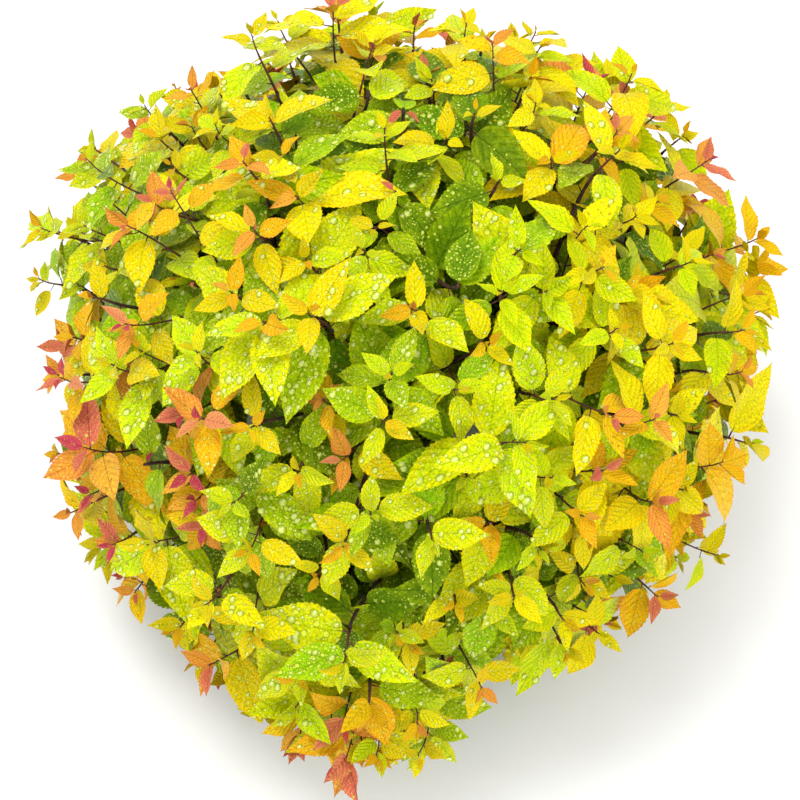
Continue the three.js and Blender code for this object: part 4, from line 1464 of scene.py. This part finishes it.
def leaf_finish(name, blade, margin, vein, wet):
    """From below up: the blade turned to its margin's colour, veins, the tile's own change, brown spots on a
    few tiles, then the rain: painted shade darkens the drops' rims, and painted light makes the drops pale.
    The relief is -0.35 veins - 0.24 wave + 0.8 mottle + the larger dots."""
    material, tree, shader = new_material(f"leaf_{name}")
    off, along, row, chance, even = blade_coordinates(tree)
    mottle = noise_at(tree, even, flat=True, Scale=44.0, Detail=2.0)
    fine = noise_at(tree, even, flat=True, Scale=150.0, Detail=1.0)
    wave, stripe, midrib = blade_veins(tree, off, along, mottle)
    share_wet = sums(tree, "MULTIPLY", sums(tree, "MULTIPLY_ADD", row, 0.42, 0.2), wet)
    dot, rim, inside = fine_rain(tree, even, share_wet)
    # colour
    colour = blend_colours(tree, turn_to_margin(tree, off, along, mottle, wet), blade, margin)
    colour = blend_colours(tree, sums(tree, "MULTIPLY", stripe, 0.22), colour, vein)
    colour = blend_colours(tree, sums(tree, "MULTIPLY", midrib, 0.6), colour, vein)
    spot = sums(tree, "MULTIPLY", ramp_between(tree, mottle, 0.62, 0.7), 0.6)
    spot = sums(tree, "MULTIPLY", spot, sums(tree, "GREATER_THAN", chance, 0.8))
    colour = blend_colours(tree, spot, vary(tree, colour, chance, fine), SPOT_COLOUR)
    # Painted shade darkens the drops' rims, and painted light makes the drops paler than the blade.
    dark = tuple(0.7 * v for v in vein)
    pale = tuple(0.4 * v + 0.6 * w for v, w in zip(margin, DROP_PAINTED_LIGHT))
    colour = blend_colours(tree, sums(tree, "MULTIPLY", rim, 0.15 + 0.7 * wet), colour, dark)
    colour = blend_colours(tree, sums(tree, "MULTIPLY", dot, 0.8), colour, pale)
    tree.links.new(colour, shader.inputs["Base Color"])
    # relief
    height = sums(tree, "MULTIPLY", sums(tree, "ADD", stripe, midrib), -0.35)
    height = sums(tree, "ADD", height, sums(tree, "MULTIPLY", wave, -0.24))
    height = sums(tree, "ADD", height, sums(tree, "MULTIPLY", mottle, 0.8))
    height = sums(tree, "ADD", height, sums(tree, "MULTIPLY", sums(tree, "POWER", inside, 0.5), 1.3))
    add_bump(tree, shader, height, 0.7, 0.0008)
    # gloss
    tree.links.new(sums(tree, "MULTIPLY_ADD", dot, -0.42, 0.5), shader.inputs["Roughness"])
    shader.inputs["Specular IOR Level"].default_value = 0.24
    shader.inputs["Specular Tint"].default_value = LEAF_SHEEN_TINT
    return material


for name, piece in leaf_pieces.items():
    piece.data.materials.append(leaf_finish(name, *LEAF_COLOURS[name]))
print("leaf finishes:", len(leaf_pieces))


# %% [markdown]
# ## Bark, twigs, water and floor
# Old spirea wood is grey-brown with fine cracks, the shoots are dark red-brown, and this spring's twigs are
# wine red. An image would have to be wrapped round each stem, and would show a seam. Noise on the object's
# own coordinates has none, and stays put on the wood from all sides.

# %% Bark and twigs
WOODS = {  # dark and light tone, scale of the noise, roughness, depth of the relief in metres
    "bark": (srgb(58, 42, 34), srgb(118, 98, 84), 260.0, 0.85, 0.0006),
    "shoot_bark": (srgb(36, 20, 18), srgb(78, 44, 36), 320.0, 0.7, 0.0003),
    "young_bark": (srgb(54, 20, 18), srgb(104, 44, 34), 380.0, 0.55, 0.0002),
}


def wood_finish(name, dark, light, scale, roughness, depth):
    """Two tones mixed by noise, with noise four times as fine as the relief."""
    material, tree, shader = new_material(name)
    place = tree.nodes.new("ShaderNodeTexCoord").outputs["Object"]
    broad = noise_at(tree, place, Scale=scale, Detail=5.0, Roughness=0.6)
    colour = blend_colours(tree, ramp_between(tree, broad, 0.35, 0.65), dark, light)
    tree.links.new(colour, shader.inputs["Base Color"])
    add_bump(tree, shader, noise_at(tree, place, Scale=scale * 4, Detail=4.0), 0.6, depth)
    shader.inputs["Roughness"].default_value = roughness
    return material


for piece, name in [(bark, "bark"), (old_shoots, "shoot_bark"), (twig_piece, "young_bark")]:
    piece.data.materials.append(wood_finish(name, *WOODS[name]))
print("woods:", list(WOODS))

# %% [markdown]
# ## Water
# A clear bead bends light so that it is dark round its rim, bright on the side away from the light, and shines
# with one small highlight. Real refraction through thousands of beads is slow and noisy, so all three are
# painted as colours by place on the bead, seen from above: painted shade at the rim, a painted pool of light
# and a painted highlight. They lie under a smooth and partly clear surface, which also glows faintly with a
# painted glow.

# %% Water
# the middle of the bead's painted rim shade, and the middles of its painted pool of light and its painted
# highlight, on its flat layout
BEAD_MIDDLE = (0.5, 0.5, 0.0)
BEAD_PAINTED_LIGHT = (0.62, 0.36, 0.0)
BEAD_PAINTED_GLINT = (0.4, 0.63, 0.0)
WATER_INDEX = 1.33


def distance_from(tree, layout, middle):
    """The distance from a point of the flat layout."""
    away = tree.nodes.new("ShaderNodeVectorMath")
    away.operation = "DISTANCE"
    tree.links.new(layout, away.inputs[0])
    away.inputs[1].default_value = middle
    return away.outputs["Value"]


def water_finish():
    """A bead is painted dark at its rim, as painted shade where the blade's shade would show through. It is
    painted pale toward the front right, as a painted pool of the light that comes in from the back left. It is
    painted nearly white at the back left, as a painted highlight where the sky would be mirrored."""
    material, tree, shader = new_material("water")
    layout = flat_layout(tree)
    # painted pool of light, painted shade at the rim, and a painted highlight
    bright = ramp_between(tree, distance_from(tree, layout, BEAD_PAINTED_LIGHT), 0.42, 0.1)
    rim = ramp_between(tree, distance_from(tree, layout, BEAD_MIDDLE), 0.37, 0.46)
    painted_glint = ramp_between(tree, distance_from(tree, layout, BEAD_PAINTED_GLINT), 0.15, 0.09)
    colour = blend_colours(tree, bright, srgb(190, 214, 30), srgb(244, 252, 140))
    colour = blend_colours(tree, rim, colour, srgb(88, 116, 12))
    colour = blend_colours(tree, painted_glint, colour, srgb(254, 255, 236))
    tree.links.new(colour, shader.inputs["Base Color"])
    shader.inputs["Roughness"].default_value = 0.05
    shader.inputs["IOR"].default_value = WATER_INDEX
    shader.inputs["Alpha"].default_value = 0.66
    # A faint painted glow: the beads give off a little light of their own, though they are no lamp.
    shader.inputs["Emission Color"].default_value = (*srgb(226, 240, 110), 1)
    shader.inputs["Emission Strength"].default_value = 0.1
    return material


drops.data.materials.append(water_finish())
print("water on", len(drops.data.polygons), "triangles")


# %% Floor
def floor_finish():
    """A pale matt sheet with the faintest unevenness."""
    material, tree, shader = new_material("floor")
    place = tree.nodes.new("ShaderNodeTexCoord").outputs["Object"]
    colour = blend_colours(tree, noise_at(tree, place, Scale=3.0), (0.9, 0.9, 0.9), (0.93, 0.93, 0.93))
    tree.links.new(colour, shader.inputs["Base Color"])
    shader.inputs["Roughness"].default_value = 0.9
    return material


floor.data.materials.append(floor_finish())
print("materials:", len(bpy.data.materials))

# %% [markdown]
# ## Ties to the frame
# Every piece rides on the one body of the shrub. The bark stands for the root crown, the stems and the
# boughs, and the shoots, twigs and leaves together stand for the masses of foliage.

# %% Ties to the frame
limb_nodes = [name for name in node_names if not name.startswith("foliage_")]
foliage_nodes = [name for name in node_names if name.startswith("foliage_")]
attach(bark, "root")
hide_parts(*limb_nodes)
for piece, slot in [(old_shoots, "bark"), (twig_piece, "twig"), (drops, "water")]:
    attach(piece, "root")
    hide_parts(*foliage_nodes)
for name, piece in leaf_pieces.items():
    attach(piece, "root")
    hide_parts(*foliage_nodes)
print("limb nodes:", len(limb_nodes), "foliage nodes:", len(foliage_nodes))
